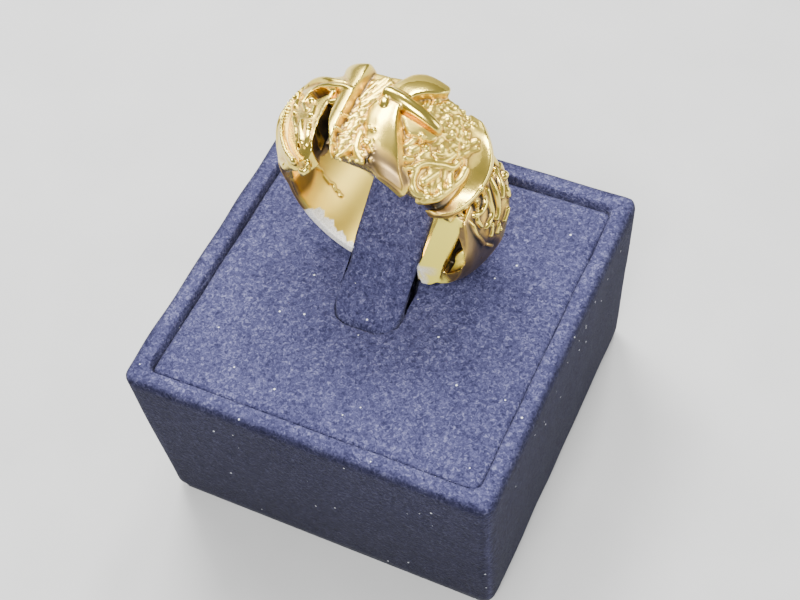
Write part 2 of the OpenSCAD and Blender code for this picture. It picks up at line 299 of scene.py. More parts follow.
# %% Loft the two flaps
# Columns: place across, near angle and radius, angle and radius of the middle, far angle and radius.
LEFT_FLAP = [
    (-9.5, 109, 11.7, 120, 11.5, 133, 11.0), (-8.3, 106, 12.9, 124, 12.2, 141, 11.1),
    (-7.2, 107.5, 13.3, 128, 12.9, 148, 11.9), (-5.8, 109.5, 13.6, 130, 13.5, 151.5, 12.9),
    (-3.8, 111.8, 13.6, 131, 14.0, 153, 14.3), (-1.6, 114.8, 13.7, 133, 14.2, 153, 14.9),
    (0.4, 116.5, 13.9, 134, 14.3, 152, 15.0), (2.2, 110, 13.9, 132, 14.3, 151, 14.8),
    (3.3, 113, 13.5, 132, 13.9, 149, 14.2), (4.3, 118, 13.0, 133, 13.2, 147, 13.2),
    (5.2, 122, 12.6, 133, 12.6, 143, 12.6)]
RIGHT_FLAP = [
    (-5.9, -36, 13.4, -22, 14.5, -9, 14.6), (-4.6, -35, 14.5, -15, 15.3, 1, 14.5),
    (-3.4, -34.5, 15.2, -13, 15.4, 12, 14.0), (-2.0, -34, 15.9, -13, 15.3, 14, 13.7),
    (0.0, -31, 16.3, -11, 15.1, 16, 13.5), (2.0, -27, 16.4, -9, 15.0, 16, 13.4),
    (3.6, -24, 16.2, -7, 15.0, 15, 13.4), (5.0, -20, 15.3, -3, 14.8, 14, 13.4),
    (6.4, -12, 14.0, 2, 14.0, 13, 13.2), (7.3, -4, 12.9, 4, 13.1, 12, 12.9)]


def make_flap(name, table):
    rows = blend_rows(table, ROWS_ACROSS)
    t = np.linspace(0, 1, 16)
    sections = []
    for across, near, near_r, middle, middle_r, far, far_r in rows:
        def curve(a, b, c):
            return a * (1 - t) * (1 - 2 * t) + 4 * b * t * (1 - t) + c * t * (2 * t - 1)
        back = np.linspace(far, near, 8)
        under = min(ROOT_R, min(near_r, middle_r, far_r) - 0.9)
        sections.append(np.concatenate([
            on_ring(curve(near, middle, far), across, curve(near_r, middle_r, far_r)),
            on_ring(back, across, np.full(8, under))]))
    return ball_to_sections(name, sections)


flaps = [report(make_flap(n, t)) for n, t in (("flap_left", LEFT_FLAP), ("flap_right", RIGHT_FLAP))]

# %% [markdown]
# ## Strands of metal
#
# Rolled edges, straps, bars, feathers and curls are all strands: a rounded top on two short walls that
# stand in the metal below. A strand is swept along its path, with round ends, from a ball whose rings
# become its sections. Its top is given either as a distance from the finger, for the large ones, or as
# a height over whatever lies below it, for the small ones.

# %% Sweep a strand along a path
def strand(name, rows, roots, roundness=1.0, step=0.3):
    """rows: angle, across, radius of the top, width. roots: radius of the foot, one for each row."""
    rows = np.column_stack([np.asarray(rows, float), roots])
    line = on_ring(rows[:, 0], rows[:, 1], rows[:, 2])
    length = np.linalg.norm(np.diff(line, axis=0), axis=1).sum()
    count = max(7, int(length / step) + 1)
    rows = blend_rows(rows, count) if len(rows) > 2 else np.linspace(rows[0], rows[1], count)
    line = on_ring(rows[:, 0], rows[:, 1], rows[:, 2])
    past = np.concatenate([[0], np.cumsum(np.linalg.norm(np.diff(line, axis=0), axis=1))])
    from_end = np.minimum(past, past[-1] - past)
    up = on_ring(rows[:, 0], 0, 1.0)
    along = np.gradient(line, axis=0)
    along /= np.linalg.norm(along, axis=1)[:, None]
    side = np.cross(along, up)
    side /= np.linalg.norm(side, axis=1)[:, None]
    arc = np.radians(np.linspace(0, 180, 9))
    sections = []
    for i, (angle, across, top, width, root) in enumerate(rows):
        near = min(1.0, from_end[i] / (0.5 * width))
        full = math.sqrt(max(1 - (1 - near) ** 2, 0.05))
        half = 0.5 * width * full
        rise = min(0.5 * width * roundness, 0.8 * (top - root))
        high = top - root - 0.6 * rise * (1 - full)
        x = np.concatenate([half * np.cos(arc), [-0.9 * half, 0, 0.9 * half]])
        h = np.concatenate([high - rise + rise * np.sin(arc), [0, 0, 0]])
        foot = line[i] + up[i] * (root - top)
        sections.append(foot + side[i] * x[:, None] + up[i] * h[:, None])
    return ball_to_sections(name, sections)


# %% [markdown]
# ## Rolled edges, straps and the T-shaped bar
#
# The left flap ends in a smooth roll. Two straps join it to the first crest, with a hollow between
# them. Right of the middle rim lies a T-shaped bar, with a dark slot and a small flat plate under it,
# and inside the right rim a second, lower rim runs to the front.

# %% Sweep the large strands
# Each: name, width (or the widths at its two ends), height of the wall, how round the top is, and its
# points: angle, across, radius.
LARGE_STRANDS = [
    ("roll_left", 1.0, 1.3, 1.0, [(146, 3.2, 14.9), (150.3, 2.2, 15.2), (152, 0.3, 15.3),
        (152, -2.1, 15.1), (151.6, -4.1, 14.3), (150.5, -5.9, 13.0), (148, -7.2, 11.9), (141, -8.3, 11.4),
        (133, -9.2, 11.3)]),
    ("rope", (0.8, 1.7), 1.4, 0.9, [(141.0, 0.4, 14.85), (142.6, -1.2, 14.9), (140.0, -3.2, 14.65),
        (136.8, -4.9, 14.2), (133.4, -6.4, 13.65), (129.0, -7.8, 13.0), (123.5, -9.0, 12.3),
        (116.5, -9.9, 11.9)]),
    ("hook", 0.6, 0.9, 1.0, [(114.8, -8.4, 12.2), (110.2, -9.1, 11.9), (107.4, -9.9, 11.6),
        (109.2, -10.6, 11.4), (113.2, -10.3, 11.4)]),
    ("knife_edge", 0.5, 1.6, 0.5, [(117.3, -0.9, 13.8), (115.3, -2.3, 13.8), (113, -3.7, 13.8),
        (110.8, -5.1, 13.8), (108.4, -6.6, 13.7), (106.9, -8, 13.3)]),
    ("strap_outer", 0.9, 1.2, 1.0, [(147, 2.2, 15.0), (139.3, 2.5, 15.0), (131.7, 2.4, 14.9),
        (125.4, 2.1, 14.8), (118.7, 1.8, 14.6), (111, 1.6, 14.4)]),
    ("strap_inner", 0.65, 1.2, 1.0, [(133.5, -1.8, 14.5), (132.7, -0.7, 14.6), (130.3, 0.5, 14.7),
        (124.3, 1.0, 14.7), (117.1, 1.0, 14.6), (110.4, 1.0, 14.5), (104, 0.6, 14.4)]),
    ("strap_low", 0.8, 1.6, 0.7, [(117, -1.1, 13.8), (114.5, -1.2, 13.9), (111.4, -0.9, 13.9),
        (108.4, -0.6, 14.0), (104.5, 0.2, 14.1)]),
    ("bar", 1.9, 2.2, 1.0, [(91.0, 2.2, 14.55), (87.5, 2.1, 14.75), (81.1, 2.0, 14.8),
        (77.2, 1.95, 14.75), (73.1, 1.9, 14.65), (69.2, 1.9, 14.55), (65.6, 1.9, 14.45),
        (61.3, 1.9, 14.25), (57.0, 1.95, 13.95), (53.8, 2.0, 13.6)]),
    ("bar_head", 1.1, 1.6, 1.0, [(87.0, 1.4, 14.5), (85.6, 0.5, 14.5), (83.6, -0.2, 14.4)]),
    ("bar_foot", 0.95, 1.6, 0.9, [(81.6, 0.2, 14.0), (77.4, -0.1, 13.9)]),
    ("rim_inner", 1.1, 1.6, 0.8, [(40.5, -6.2, 13.0), (37.2, -5.4, 13.4), (34.9, -4.6, 13.7),
        (33.4, -3.3, 13.8), (32, -2.0, 13.8), (30.7, -0.7, 13.8), (30.7, 0.4, 13.8), (32.4, 1.6, 13.8)])]
strands = []
for name, width, wall, roundness, points in LARGE_STRANDS:
    ends = width if isinstance(width, tuple) else (width, width)
    rows = [(*point, w) for point, w in zip(points, np.linspace(*ends, len(points)))]
    strands.append(strand(name, rows, [point[2] - wall for point in points], roundness))
print(len(strands), "large strands")

# %% [markdown]
# ## The front of the right leg
#
# The right leg ends in front in a flat face, filed smooth, that leans back a little. It is a straight
# post between the finger hole and the outer shell, so it starts as a cylinder whose rims are moved onto
# the outline of the face.

# %% Stand a post in the right leg
FACE_LEAN, FACE_MIDDLE_ACROSS, FACE_MIDDLE_HEIGHT = 0.25, -5.7, -6.45


def face_across(height):
    """Place across the band of the leaning front face, at a height over the ring's middle."""
    return FACE_MIDDLE_ACROSS + FACE_LEAN * (height - FACE_MIDDLE_HEIGHT)


def plan_solid(name, plan, place):
    """A closed solid over a plan: place gives the points of its high and of its low end."""
    plan = np.array(plan, float)
    bpy.ops.object.select_all(action="DESELECT")
    bpy.ops.mesh.primitive_cylinder_add(vertices=len(plan), end_fill_type="TRIFAN")
    solid = bpy.context.active_object
    solid.name = name
    co = points_of(solid)
    turn = np.degrees(np.arctan2(co[:, 0], co[:, 1])) % 360
    where = plan[np.rint(turn / (360 / len(plan))).astype(int) % len(plan)]
    where[np.hypot(co[:, 0], co[:, 1]) < 0.5] = plan.mean(0)
    move_points(solid, place(where[:, 0], where[:, 1], co[:, 2] > 0))
    return face_outwards(solid)


def behind_face(front, back):
    """Ends of a solid in front of (-) or behind (+) the leaning face."""
    return lambda x, z, high: np.stack([x, face_across(z) + np.where(high, back, front), z], -1)


# Plans of the post, seen from the front: place to the right and height.
FACE_EDGE = [
    (11.1, -7.3), (11.04, -6.6), (11.33, -5.0), (11.76, -3.35), (12.25, -1.7), (12.73, -0.07),
    (13.14, 1.5)]
POST = [
    (13.1, 3.2), (10.0, 3.2), (9.9, 1.5), (9.45, -0.15), (9.05, -1.9), (8.4, -4.5), (7.75, -6.7),
    (7.9, -8.0), (8.5, -9.0), (9.8, -8.6)] + FACE_EDGE
post = report(plan_solid("ring_post", POST, behind_face(0, 3.5)))


def from_to(low, high):
    """Ends of a solid over a plan of angle and across, from one radius to another."""
    return lambda angle, across, top: on_ring(angle, across, np.where(top, high, low))


# The flat plate under the bar: angle and place across.
PLATE = [
    (76.0, 0.9), (72.0, 1.1), (65.9, 1.1), (59.0, 1.2), (55.2, 1.2), (54.3, 0.8), (55.2, 0.2),
    (58.0, -0.2), (62.4, -0.5), (66.8, -1.1), (70.7, -0.6), (74.5, 0.4)]
plate = report(plan_solid("ring_plate", PLATE, from_to(12.2, 13.55)))

# %% Melt them into one gold body
def melt(obj, voxel, smooth_steps):
    """Joins what overlaps into one closed skin, and softens it."""
    apply(obj, "REMESH", mode="VOXEL", voxel_size=voxel, use_smooth_shade=True)
    return apply(obj, "SMOOTH", factor=0.5, iterations=smooth_steps)


BODY_VOXEL = 0.12
ring = melt(join([band, post, plate] + rims + flaps + strands, "ring_gold"), BODY_VOXEL, 1)
report(ring)

# %% [markdown]
# ## What is cut away
#
# Casting leaves deep hollows: a long wedge between the left flap and the first crest, the hollow
# between the two straps, the slot beside the bar, the opening between the two right rims, and the
# pocket in the front of the right leg. Each is cut with a solid of its own plan, from above the relief
# down to the given depth.

# %% Cut the hollows
def cut(obj, cutter):
    before = len(obj.data.polygons)
    apply(obj, "BOOLEAN", operation="DIFFERENCE", object=cutter, solver="MANIFOLD")
    print(cutter.name, "cut:", before, "->", len(obj.data.polygons), "faces")
    bpy.data.objects.remove(cutter)


WEDGE = [
    (116.0, -0.9), (114.3, -2.5), (112.4, -4), (110.2, -5.5), (107.9, -7), (106.4, -8.3), (104.8, -9.8),
    (91.5, -9.8), (94.0, -8.5), (97.0, -7.4), (100.4, -6.1), (103.9, -4.9), (108.9, -2.9)]
WEDGE_THROUGH = [
    (109.0, -5.6), (107.6, -6.9), (106.0, -8.4), (104.6, -9.8), (94.0, -9.8), (96.0, -8.3), (98.6, -7.1),
    (102.0, -5.7), (105.5, -4.6)]
STRAP_HOLLOW = [
    (131.6, -0.8), (131.1, 0.4), (126.7, 0.75), (122, 0.65), (118.6, 0.4), (118.9, -0.2), (123.2, -0.9),
    (127, -1.3)]
ALMOND = [(28.4, 1.6), (26.2, 1.3), (24.7, 0.4), (24, -0.7), (25.0, -1.0), (26.6, -0.5), (28.0, 0.5)]
PIT = [(118.8, -7.6), (117.6, -7.1), (116.2, -7.4), (115.4, -8.0), (116.6, -8.4), (118.2, -8.1)]
TRIANGLE = [(88.3, -7.7), (85.6, -6.4), (84.0, -7.1), (85.4, -7.7)]
# Each: name, plan of angle and across, radius of its floor and of its top.
CUTS = [("wedge", WEDGE, 11.0, 15.5), ("wedge_through", WEDGE_THROUGH, 9.0, 12.0),
        ("strap_hollow", STRAP_HOLLOW, 13.1, 15.5), ("almond", ALMOND, 13.6, 15.5),
        ("triangle", TRIANGLE, 12.1, 13.5), ("pit", PIT, 11.6, 14.5)]
for name, plan, low, high in CUTS:
    cut(ring, plan_solid(name, plan, from_to(low, high)))

# %% Cut the slot beside the bar
SLOT_TOP, SLOT_FLOOR, SLOT_WIDTH = 14.6, 12.9, 0.36
SLOT_LINE = [
    (77.5, 0.75), (74.5, 0.85), (70.9, 0.9), (66.4, 0.95), (62, 1.0), (58.5, 1.1), (55.6, 1.25),
    (54.0, 1.3)]
cut(ring, strand("slot_cutter", [(a, v, SLOT_TOP, SLOT_WIDTH) for a, v in SLOT_LINE],
                 [SLOT_FLOOR] * len(SLOT_LINE), roundness=0.2))

# %% Cut the right leg's face and its pocket
POCKET_DEPTH, IN_FRONT = 1.3, -9
LEG_FACE = [(12.9, 3.4), (6.0, 3.4), (6.0, -10.5), (11.1, -10.5)] + FACE_EDGE
POCKET = [
    (13.2, 1.0), (12.9, -0.1), (12.42, -1.75), (11.93, -3.4), (11.6, -4.9), (12.2, -5.0), (13.1, -4.25),
    (14.1, -3.1), (14.55, -1.95), (14.4, -0.75), (13.8, 0.15)]
cut(ring, plan_solid("leg_face", LEG_FACE, behind_face(IN_FRONT, 0)))
cut(ring, plan_solid("leg_pocket", POCKET, behind_face(IN_FRONT, POCKET_DEPTH)))
report(ring)

# %% [markdown]
# ## The small relief
#
# The open fields are full of feathers, leaves, curls and beads, cut into the wax by hand before the ring
# was cast. Each small strand is laid on the ground below it: a ray towards the finger's middle finds
# the height there.

# %% Find the ground under the relief
tree = BVHTree.FromPolygons(points_of(ring).tolist(), [tuple(f.vertices) for f in ring.data.polygons])


def ground_radius(angle, across):
    outside = Vector(on_ring(angle, across, 20.0))
    inwards = Vector(on_ring(angle, 0, -1.0))
    hit = tree.ray_cast(outside, inwards, 9.5)[0]
    return math.hypot(hit.x, hit.z) if hit else ROOT_R + 1


print("ground at the top:", round(ground_radius(90, 0), 2))

# %% Lay the small strands
# Each: width, height, and its points: angle and place across.
SMALL_STRANDS = [
    # Leaves of the left flap.
    (0.5, 0.45, [(131.5, -4.0), (126, -5.4), (119.5, -7.2)]),
    (0.55, 0.45, [(124.0, -4.6), (119.0, -6.2), (114.5, -8.0)]),
    (0.5, 0.45, [(116.0, -5.3), (111.6, -7.2), (111.0, -8.4)]),
    (0.5, 0.4, [(140.5, -0.6), (137.5, -2.2)]), (0.5, 0.4, [(132.0, -1.6), (127.5, -2.6), (123.5, -3.0)]),
    (0.45, 0.35, [(122.0, -2.2), (118.0, -4.2)]),
    # The fan of long leaves under the right rim.
    (0.6, 0.4, [(44.0, -0.6), (40.5, -1.0), (37.2, -2.2), (35.4, -4.0)]),
    (0.5, 0.36, [(43.2, -2.0), (40.2, -2.8), (37.8, -4.6)]),
    (0.45, 0.4, [(40.5, 0.4), (36.4, -0.4), (33.6, -2.4)]),
    (0.36, 0.3, [(42.0, -3.4), (40.0, -4.4), (39.4, -5.6)]),
    # Feathers and leaves right of the first crest.
    (0.36, 0.45, [(99.8, -0.1), (97, 1.2), (94.6, 2.8), (92.3, 4.7)]),
    (0.26, 0.4, [(98.2, -0.7), (95.3, 0.6)]), (0.3, 0.42, [(96.2, 0.5), (94.1, 2), (92.0, 3.4)]),
    (0.3, 0.45, [(101.4, 0.5), (101.4, 1.6), (101.2, 2.6)]), (0.28, 0.42, [(100.6, 2.4), (99.8, 4.4)]),
    (0.28, 0.42, [(94.4, 1.1), (91.5, 2.2), (89.6, 2.6)]), (0.28, 0.42, [(98.8, 3.3), (96.9, 5.1)]),
    (0.28, 0.42, [(93.1, -0.3), (89.8, 0.6)]), (0.28, 0.42, [(98.3, 1.9), (96.3, 3.6), (95.0, 5.2)]),
    (0.26, 0.4, [(96.4, -1.0), (93.6, -0.2)]), (0.3, 0.45, [(101, -3.2), (100.3, -2.2)]),
    (0.32, 0.45, [(98.6, -3.0), (97.8, -1.9), (97.0, -1.3)]), (0.32, 0.45, [(94.2, -3.2), (93.5, -2.0)]),
    (0.32, 0.45, [(93.2, -4.0), (92.3, -2.9)]), (0.28, 0.42, [(99, -3.8), (96.8, -3.1)]),
    (0.28, 0.42, [(96.4, -2.4), (95.4, -1.6)]),
    # The fan over the dark triangle, and its thin edge.
    (0.28, 0.42, [(99.3, -5.1), (95.9, -4.7), (92.5, -4.2)]), (0.28, 0.42, [(95, -5.2), (92.2, -4.6)]),
    (0.28, 0.42, [(97, -5.8), (94.6, -5.3)]), (0.28, 0.42, [(94.8, -6.2), (91.6, -5.6), (90.3, -5.1)]),
    (0.28, 0.42, [(94, -6.7), (91.4, -6.1)]), (0.3, 0.42, [(93.0, -7.4), (90.9, -6.7)]),
    (0.28, 0.42, [(96.4, -7.2), (94.6, -6.8)]),
    (0.26, 0.5, [(90.4, -8.6), (89.0, -7.8), (88.2, -7.0), (87.6, -5.8)]),
    (0.6, 0.55, [(87.9, -3.6), (86.8, -4.8), (84.2, -6.2), (80.4, -7.0), (76.2, -7.4)]),
    # Field right of the bar.
    (0.34, 0.45, [(65, -2.6), (64.1, -1.9), (63.5, -1.2), (62.8, -0.6), (61, -0.3), (58.3, -0.4)]),
    (0.62, 0.6, [(61.8, -2.8), (60.2, -2.1), (58.4, -1.1)]), (0.6, 0.5, [(56.4, -1.2), (54.2, -0.2)]),
    (0.26, 0.55, [(55.6, -1.9), (52.3, -0.8)]), (0.5, 0.45, [(61.6, -4), (58.7, -3.3), (57, -2.8)]),
    (0.3, 0.45, [(57.9, -4.9), (54.2, -3.9)]),
    (0.4, 0.42, [(56.6, -2.5), (53.5, -1.8), (50.4, -1.4), (47.9, -1.4)]),
    (0.95, 0.6, [(49.0, 0.2), (45.6, 1.3)]),
    (0.28, 0.45, [(50.8, -0.6), (46.5, 0.1), (43.5, 0.9), (43.2, 1.8)]),
    (0.3, 0.5, [(48.2, -1.1), (44, -0.4), (41.4, 0.8), (40.9, 1.9)]),
    (0.46, 0.62, [(54.4, -4.6), (53.9, -4.0), (52.7, -3.1), (50.5, -2.3), (46.8, -1.6), (41.8, -0.7),
        (38.3, -0.2), (36.6, 0.5), (37, 1.4)]),
    (0.5, 0.58, [(52.5, -3.4), (52.4, -4.3), (51, -5.2), (48.4, -5.8), (44.5, -6), (40.6, -5.6)]),
    (0.6, 0.6, [(46.2, -4.8), (45, -3.8), (43.8, -2.9), (42, -1.6)]),
    (0.4, 0.42, [(46.6, -3), (44.9, -2.2), (42.6, -1.4)]), (0.5, 0.45, [(42.4, -5.0), (40.2, -4.3)]),
    (0.42, 0.42, [(38.2, -3), (35.8, -2.3)]), (0.36, 0.42, [(40.9, -3), (39.8, -2.3)]),
    (0.36, 0.42, [(39.9, -5.9), (37.9, -5.2)]),
    (0.36, 0.42, [(59.2, -5.2), (55.4, -5.4), (53, -5.8), (50, -6.5)]),
    (0.34, 0.42, [(37.8, 2.2), (35.4, 3.4), (33.8, 4.4)]),
    (0.34, 0.4, [(40.0, 3.0), (37.6, 4.0), (36.2, 5.0)]),
    # Hanging leaves of the right flap, and the ribs below them.
    (0.55, 0.6, [(21.9, 0.6), (13.6, 1.5), (9.2, 1.2), (7.7, 0.0), (10.1, -1.3)]),
    (0.65, 0.6, [(14.3, 2.5), (7.4, 1.9), (0.4, 1.5), (-2.2, -0.2)]),
    (0.65, 0.6, [(16.2, 4.1), (8.4, 3.5), (-0.5, 2.9), (-5.7, 1.8)]),
    (0.6, 0.6, [(15.2, 5.8), (8.1, 4.7), (1.3, 3.9)]), (0.55, 0.55, [(3.9, 5.3), (-1.8, 5.1)]),
    (0.6, 0.5, [(-6.0, 4.6), (-8.6, 4.0), (-12, 3.2)]), (0.5, 0.5, [(-8.8, 2.4), (-14.5, 1.6)]),
    (0.5, 0.45, [(20, -2.4), (16.3, -2.6), (8.2, -2.5), (1.4, -2.4), (-9.3, -1.4)]),
    (0.5, 0.5, [(21.5, 6.1), (13.0, 6.4)]),
    (0.5, 0.5, [(18.7, -0.6), (12.1, -0.4), (6.9, -1.3), (1.0, -1.0)]),
    (0.5, 0.5, [(-3.5, 0.9), (-6.7, 0.9), (-11, 0.2)]),
    (0.3, 0.25, [(-12, -0.8), (-19, 0.7), (-29, 2.9)]), (0.3, 0.25, [(-18.4, -1.8), (-30.4, 1.0)]),
    (0.3, 0.25, [(-23, -2.8), (-32, -0.4)])]
# Between the bar and the right rim the leaves are broader than drawn, as wear has run them together.
BROAD_FROM, BROAD_TO, BROADER = 34, 66, 1.4
SUNK = 0.35  # how far a small strand reaches into its ground
small = []
for width, height, points in SMALL_STRANDS:
    width, height = 0.1 + 1.25 * width, 0.9 * height
    if BROAD_FROM < points[0][0] < BROAD_TO:
        width *= BROADER
    grounds = [ground_radius(a, v) for a, v in points]
    small.append(strand("small_strand", [(a, v, g + height, width) for (a, v), g in zip(points, grounds)],
                        [g - SUNK for g in grounds], step=0.16))
print(len(small), "small strands")

# %% [markdown]
# ## Beads, studs and grains
#
# Grapes, studs and lumps are copies of one ball, each with its own mesh, sunk to its middle. The rope
# of the left flap is a row of studs that grow towards its end. What is left of the open fields is
# scattered with small leaves, which follow the way of the field. The crack inside the left leg is a
# wandering row of grains.

# %% Set beads from copies of one ball
# Each: angle, place across, size.
BEADS = [
    (126.8, -1.3, 0.8), (141.0, -0.2, 0.6), (119.4, -3.9, 0.6), (129.5, -4.7, 0.6), (122.0, -5.6, 0.65),
    (113.7, -6.1, 0.7), (121.2, -6.7, 0.6), (111.4, -7.4, 0.6), (134, -3.2, 0.5), (116.5, -5.0, 0.4),
    (90.8, -2.2, 0.75), (88.7, -3.7, 0.62), (86.8, -4.6, 0.62), (83.9, -5.8, 0.55), (80.5, -6.3, 0.7),
    (78, -6.5, 0.6), (84.9, -3.2, 0.5), (81.7, -3.4, 0.5), (82.2, -4.9, 0.8), (79.2, -4.7, 0.5),
    (78.2, -5.4, 0.55), (76, -5.8, 0.5), (83.1, -8.0, 0.42), (87.5, -8.5, 0.4), (74.1, -6.7, 0.5),
    (76.8, -7.4, 0.45), (80.2, -7.7, 0.4), (69.4, 4.1, 0.5), (63.6, 4.9, 0.5), (65.2, 3.7, 0.5),
    (61.5, 4.3, 0.5), (55.7, 4.5, 0.8), (57.9, 5.3, 0.6), (48.4, 3.3, 0.85), (52.1, 4.1, 0.55),
    (47.5, 4.7, 0.6), (51.3, 5.6, 0.6), (42.6, 4.8, 0.65), (42.3, 2.2, 0.5), (43.5, 2.8, 0.5),
    (39.8, 4.1, 0.6), (51.1, 6.7, 0.5), (45.5, 5.6, 0.5), (44.3, 3.8, 0.4), (62.8, 5.6, 0.4),
    (66.8, 4.8, 0.4), (59.4, 6.2, 0.45), (55.0, 6.2, 0.5), (47.2, 6.5, 0.5), (43.2, 6.2, 0.5),
    (54.0, 3.2, 0.4), (8.5, 6.0, 1.1), (-14.5, 2.5, 0.6), (-8.6, 4.0, 0.55), (3.9, 5.3, 0.5),
    (-2.2, -0.2, 0.6), (10.1, -1.3, 0.7)]
bpy.ops.object.select_all(action="DESELECT")
bpy.ops.mesh.primitive_uv_sphere_add(segments=12, ring_count=8)
ball = bpy.context.active_object
ball_points = points_of(ball)
beads = []


def set_bead(angle, across, radius, long, wide, tall, turn=0.0):
    """A copy of the ball at a place on the ring, stretched, its long way turned from along to across."""
    bead = ball.copy()
    bead.data = ball.data.copy()
    bpy.context.scene.collection.objects.link(bead)
    up = on_ring(angle, 0, 1.0)
    ahead = np.array([-up[2], 0, up[0]])
    cross = np.array([0, 1, 0])
    a = ahead * math.cos(turn) + cross * math.sin(turn)
    b = cross * math.cos(turn) - ahead * math.sin(turn)
    co = ball_points * np.array([long / 2, wide / 2, tall])
    move_points(bead, on_ring(angle, across, radius) + co[:, :1] * a + co[:, 1:2] * b + co[:, 2:] * up)
    beads.append(bead)


for angle, across, size in BEADS:
    set_bead(angle, across, ground_radius(angle, across), 1.25 * size, 1.25 * size, 0.5 * size + 0.1)
# The studs on the rope of the left flap: angle, across, radius, size.
ROPE = [
    (141.0, 0.4, 14.95, 0.5), (142.6, -1.2, 15.0, 0.5), (140.0, -3.2, 14.75, 0.55),
    (136.8, -4.9, 14.3, 0.6), (133.4, -6.4, 13.75, 0.7), (129.0, -7.8, 13.1, 0.85),
    (123.5, -9.0, 12.4, 1.0), (116.5, -9.9, 12.0, 1.1)]
for angle, across, radius, size in blend_rows(ROPE, 24):
    set_bead(angle, across, radius, 0.75 * size, 0.85 * size, 0.4 * size + 0.25)
print(len(beads), "beads and studs")


# %% Scatter leaves in the open fields
def inside(plan, angle, across):
    """Whether places lie in a plan: each side of it that a line to the right crosses turns the answer."""
    hit = np.zeros(np.shape(angle), bool)
    for (a0, v0), (a1, v1) in zip(plan, plan[1:] + plan[:1]):
        if v0 != v1:
            hit ^= ((v0 > across) != (v1 > across)) & (angle < a0 + (across - v0) / (v1 - v0) * (a1 - a0))
    return hit


# Each: plan of angle and across, way of the leaves in degrees, their length, width and height.
FIELDS = [
    ([(99, -5.8), (100.5, -4), (101.5, -2), (102.6, 0.5), (103.8, 3), (104.6, 4.9), (91, 4.9), (93, 3),
        (94, 0.5), (92.5, -2), (90, -3.2)], 108, 1.3, 0.42, 0.26),
    ([(97.5, -7.2), (99, -5.8), (90, -3.2), (88.5, -5.5), (88.5, -7.4)], 150, 1.1, 0.42, 0.26),
    ([(75, 3.4), (71.5, 4.6), (66, 6.0), (60, 6.6), (50, 6.4), (43, 5.6), (37, 4.2), (31.5, 2.2),
        (34, 1.2), (44, 1.4), (52, 0.6), (54.5, 3.0), (60, 3.4), (68, 3.3)], 130, 1.3, 0.8, 0.28)]
HIGHEST_GROUND = 13.35  # the rims stand higher and stay bare
rng = np.random.default_rng(11)
for plan, flow, length, wide, tall in FIELDS:
    angles, places = zip(*plan)
    for a in np.arange(min(angles), max(angles), 3.6 * wide + 0.6):
        for v in np.arange(min(places), max(places), 0.75 * length):
            angle, across = a + rng.uniform(-0.9, 0.9), v + rng.uniform(-0.3, 0.3)
            long, turn = length * rng.uniform(0.8, 1.3), math.radians(flow + rng.uniform(-18, 18))
            ground = ground_radius(angle, across)
            if inside(plan, angle, across) and ground < HIGHEST_GROUND:
                set_bead(angle, across, ground - 0.05, long, wide * rng.uniform(0.8, 1.2), tall, turn)
print(len(beads), "beads, studs and leaves")

# %% Lay the crack and fill the pocket
# Points of the crack on the inside of the left leg: angle and place across.
SEAM = [
    (193.6, -0.9), (198.5, -0.5), (204.3, -0.7), (210.9, -0.5), (214.5, -0.1), (217.8, -0.4),
    (225.3, -0.3)]
for angle, across in blend_rows(SEAM, 22):
    size = rng.uniform(0.24, 0.5)
    set_bead(angle, across + rng.uniform(-0.12, 0.12), FINGER_R, 1.3 * size, size, 0.22)
# The swelling in the pocket of the right leg: angle, across, radius, length, width, height.
set_bead(-15.5, -3.6, 13.5, 3.2, 1.5, 0.8)
bpy.data.objects.remove(ball)
print(len(beads), "beads in all")

# %% [markdown]
# ## One skin, softened by wear
#
# A casting has no joints: where two forms meet there is a small soft fillet. Melting all the pieces
# together in fine voxels and smoothing them gives that. The open fields are worn more than the rims,
# so their points are smoothed again.

# %% Melt the relief into the ring
RELIEF_VOXEL, RELIEF_SMOOTHING, FIELD_SMOOTHING = 0.1, 4, 12


def rise(value, low, high):
    """0 below the low value, 1 over the high one, and even between them."""
    return np.clip((value - low) / (high - low), 0, 1)


ring = melt(join([ring] + small + beads, "ring_gold"), RELIEF_VOXEL, RELIEF_SMOOTHING)
co = points_of(ring)
across = co[:, 1]
radius = np.hypot(co[:, 0], co[:, 2])
angle = np.degrees(np.arctan2(co[:, 2], co[:, 0]))
turn = angle % 360
right_field = (angle > 28) & (angle < 94) & (radius < 13.9)
left_field = (angle >= 94) & (angle < 106) & (radius < 13.7)
open_field = (right_field | left_field) & (radius > 11)
soft = ring.vertex_groups.new(name="soft")
soft.add(np.nonzero(open_field)[0].tolist(), 1.0, "REPLACE")
apply(ring, "SMOOTH", factor=0.5, iterations=FIELD_SMOOTHING, vertex_group="soft")
co = points_of(ring)
print(len(co), "points, of them in the open fields:", int(open_field.sum()))

# %% [markdown]
# ## What wear and years left on the gold
#
# Finish differs from place to place, so it is kept as values in the points, for the material to read.
# Two places are scuffed pale: the lower front edge of the left leg and the lower corner of the right
# leg's face. That face itself is filed, and the band below is satin. The pocket's floor is painted
# bright, as where light falls.

# %% Mark the worn, filed and satin places, and the pocket floor painted bright
def keep_values(obj, name, values):
    layer = obj.data.attributes.new(name, "FLOAT", "POINT")
    layer.data.foreach_set("value", np.asarray(values, np.float32))


ragged = 0.26 * np.sin(0.55 * turn) + 0.12 * np.sin(1.3 * turn + across) + 0.04 * np.sin(3.1 * turn)
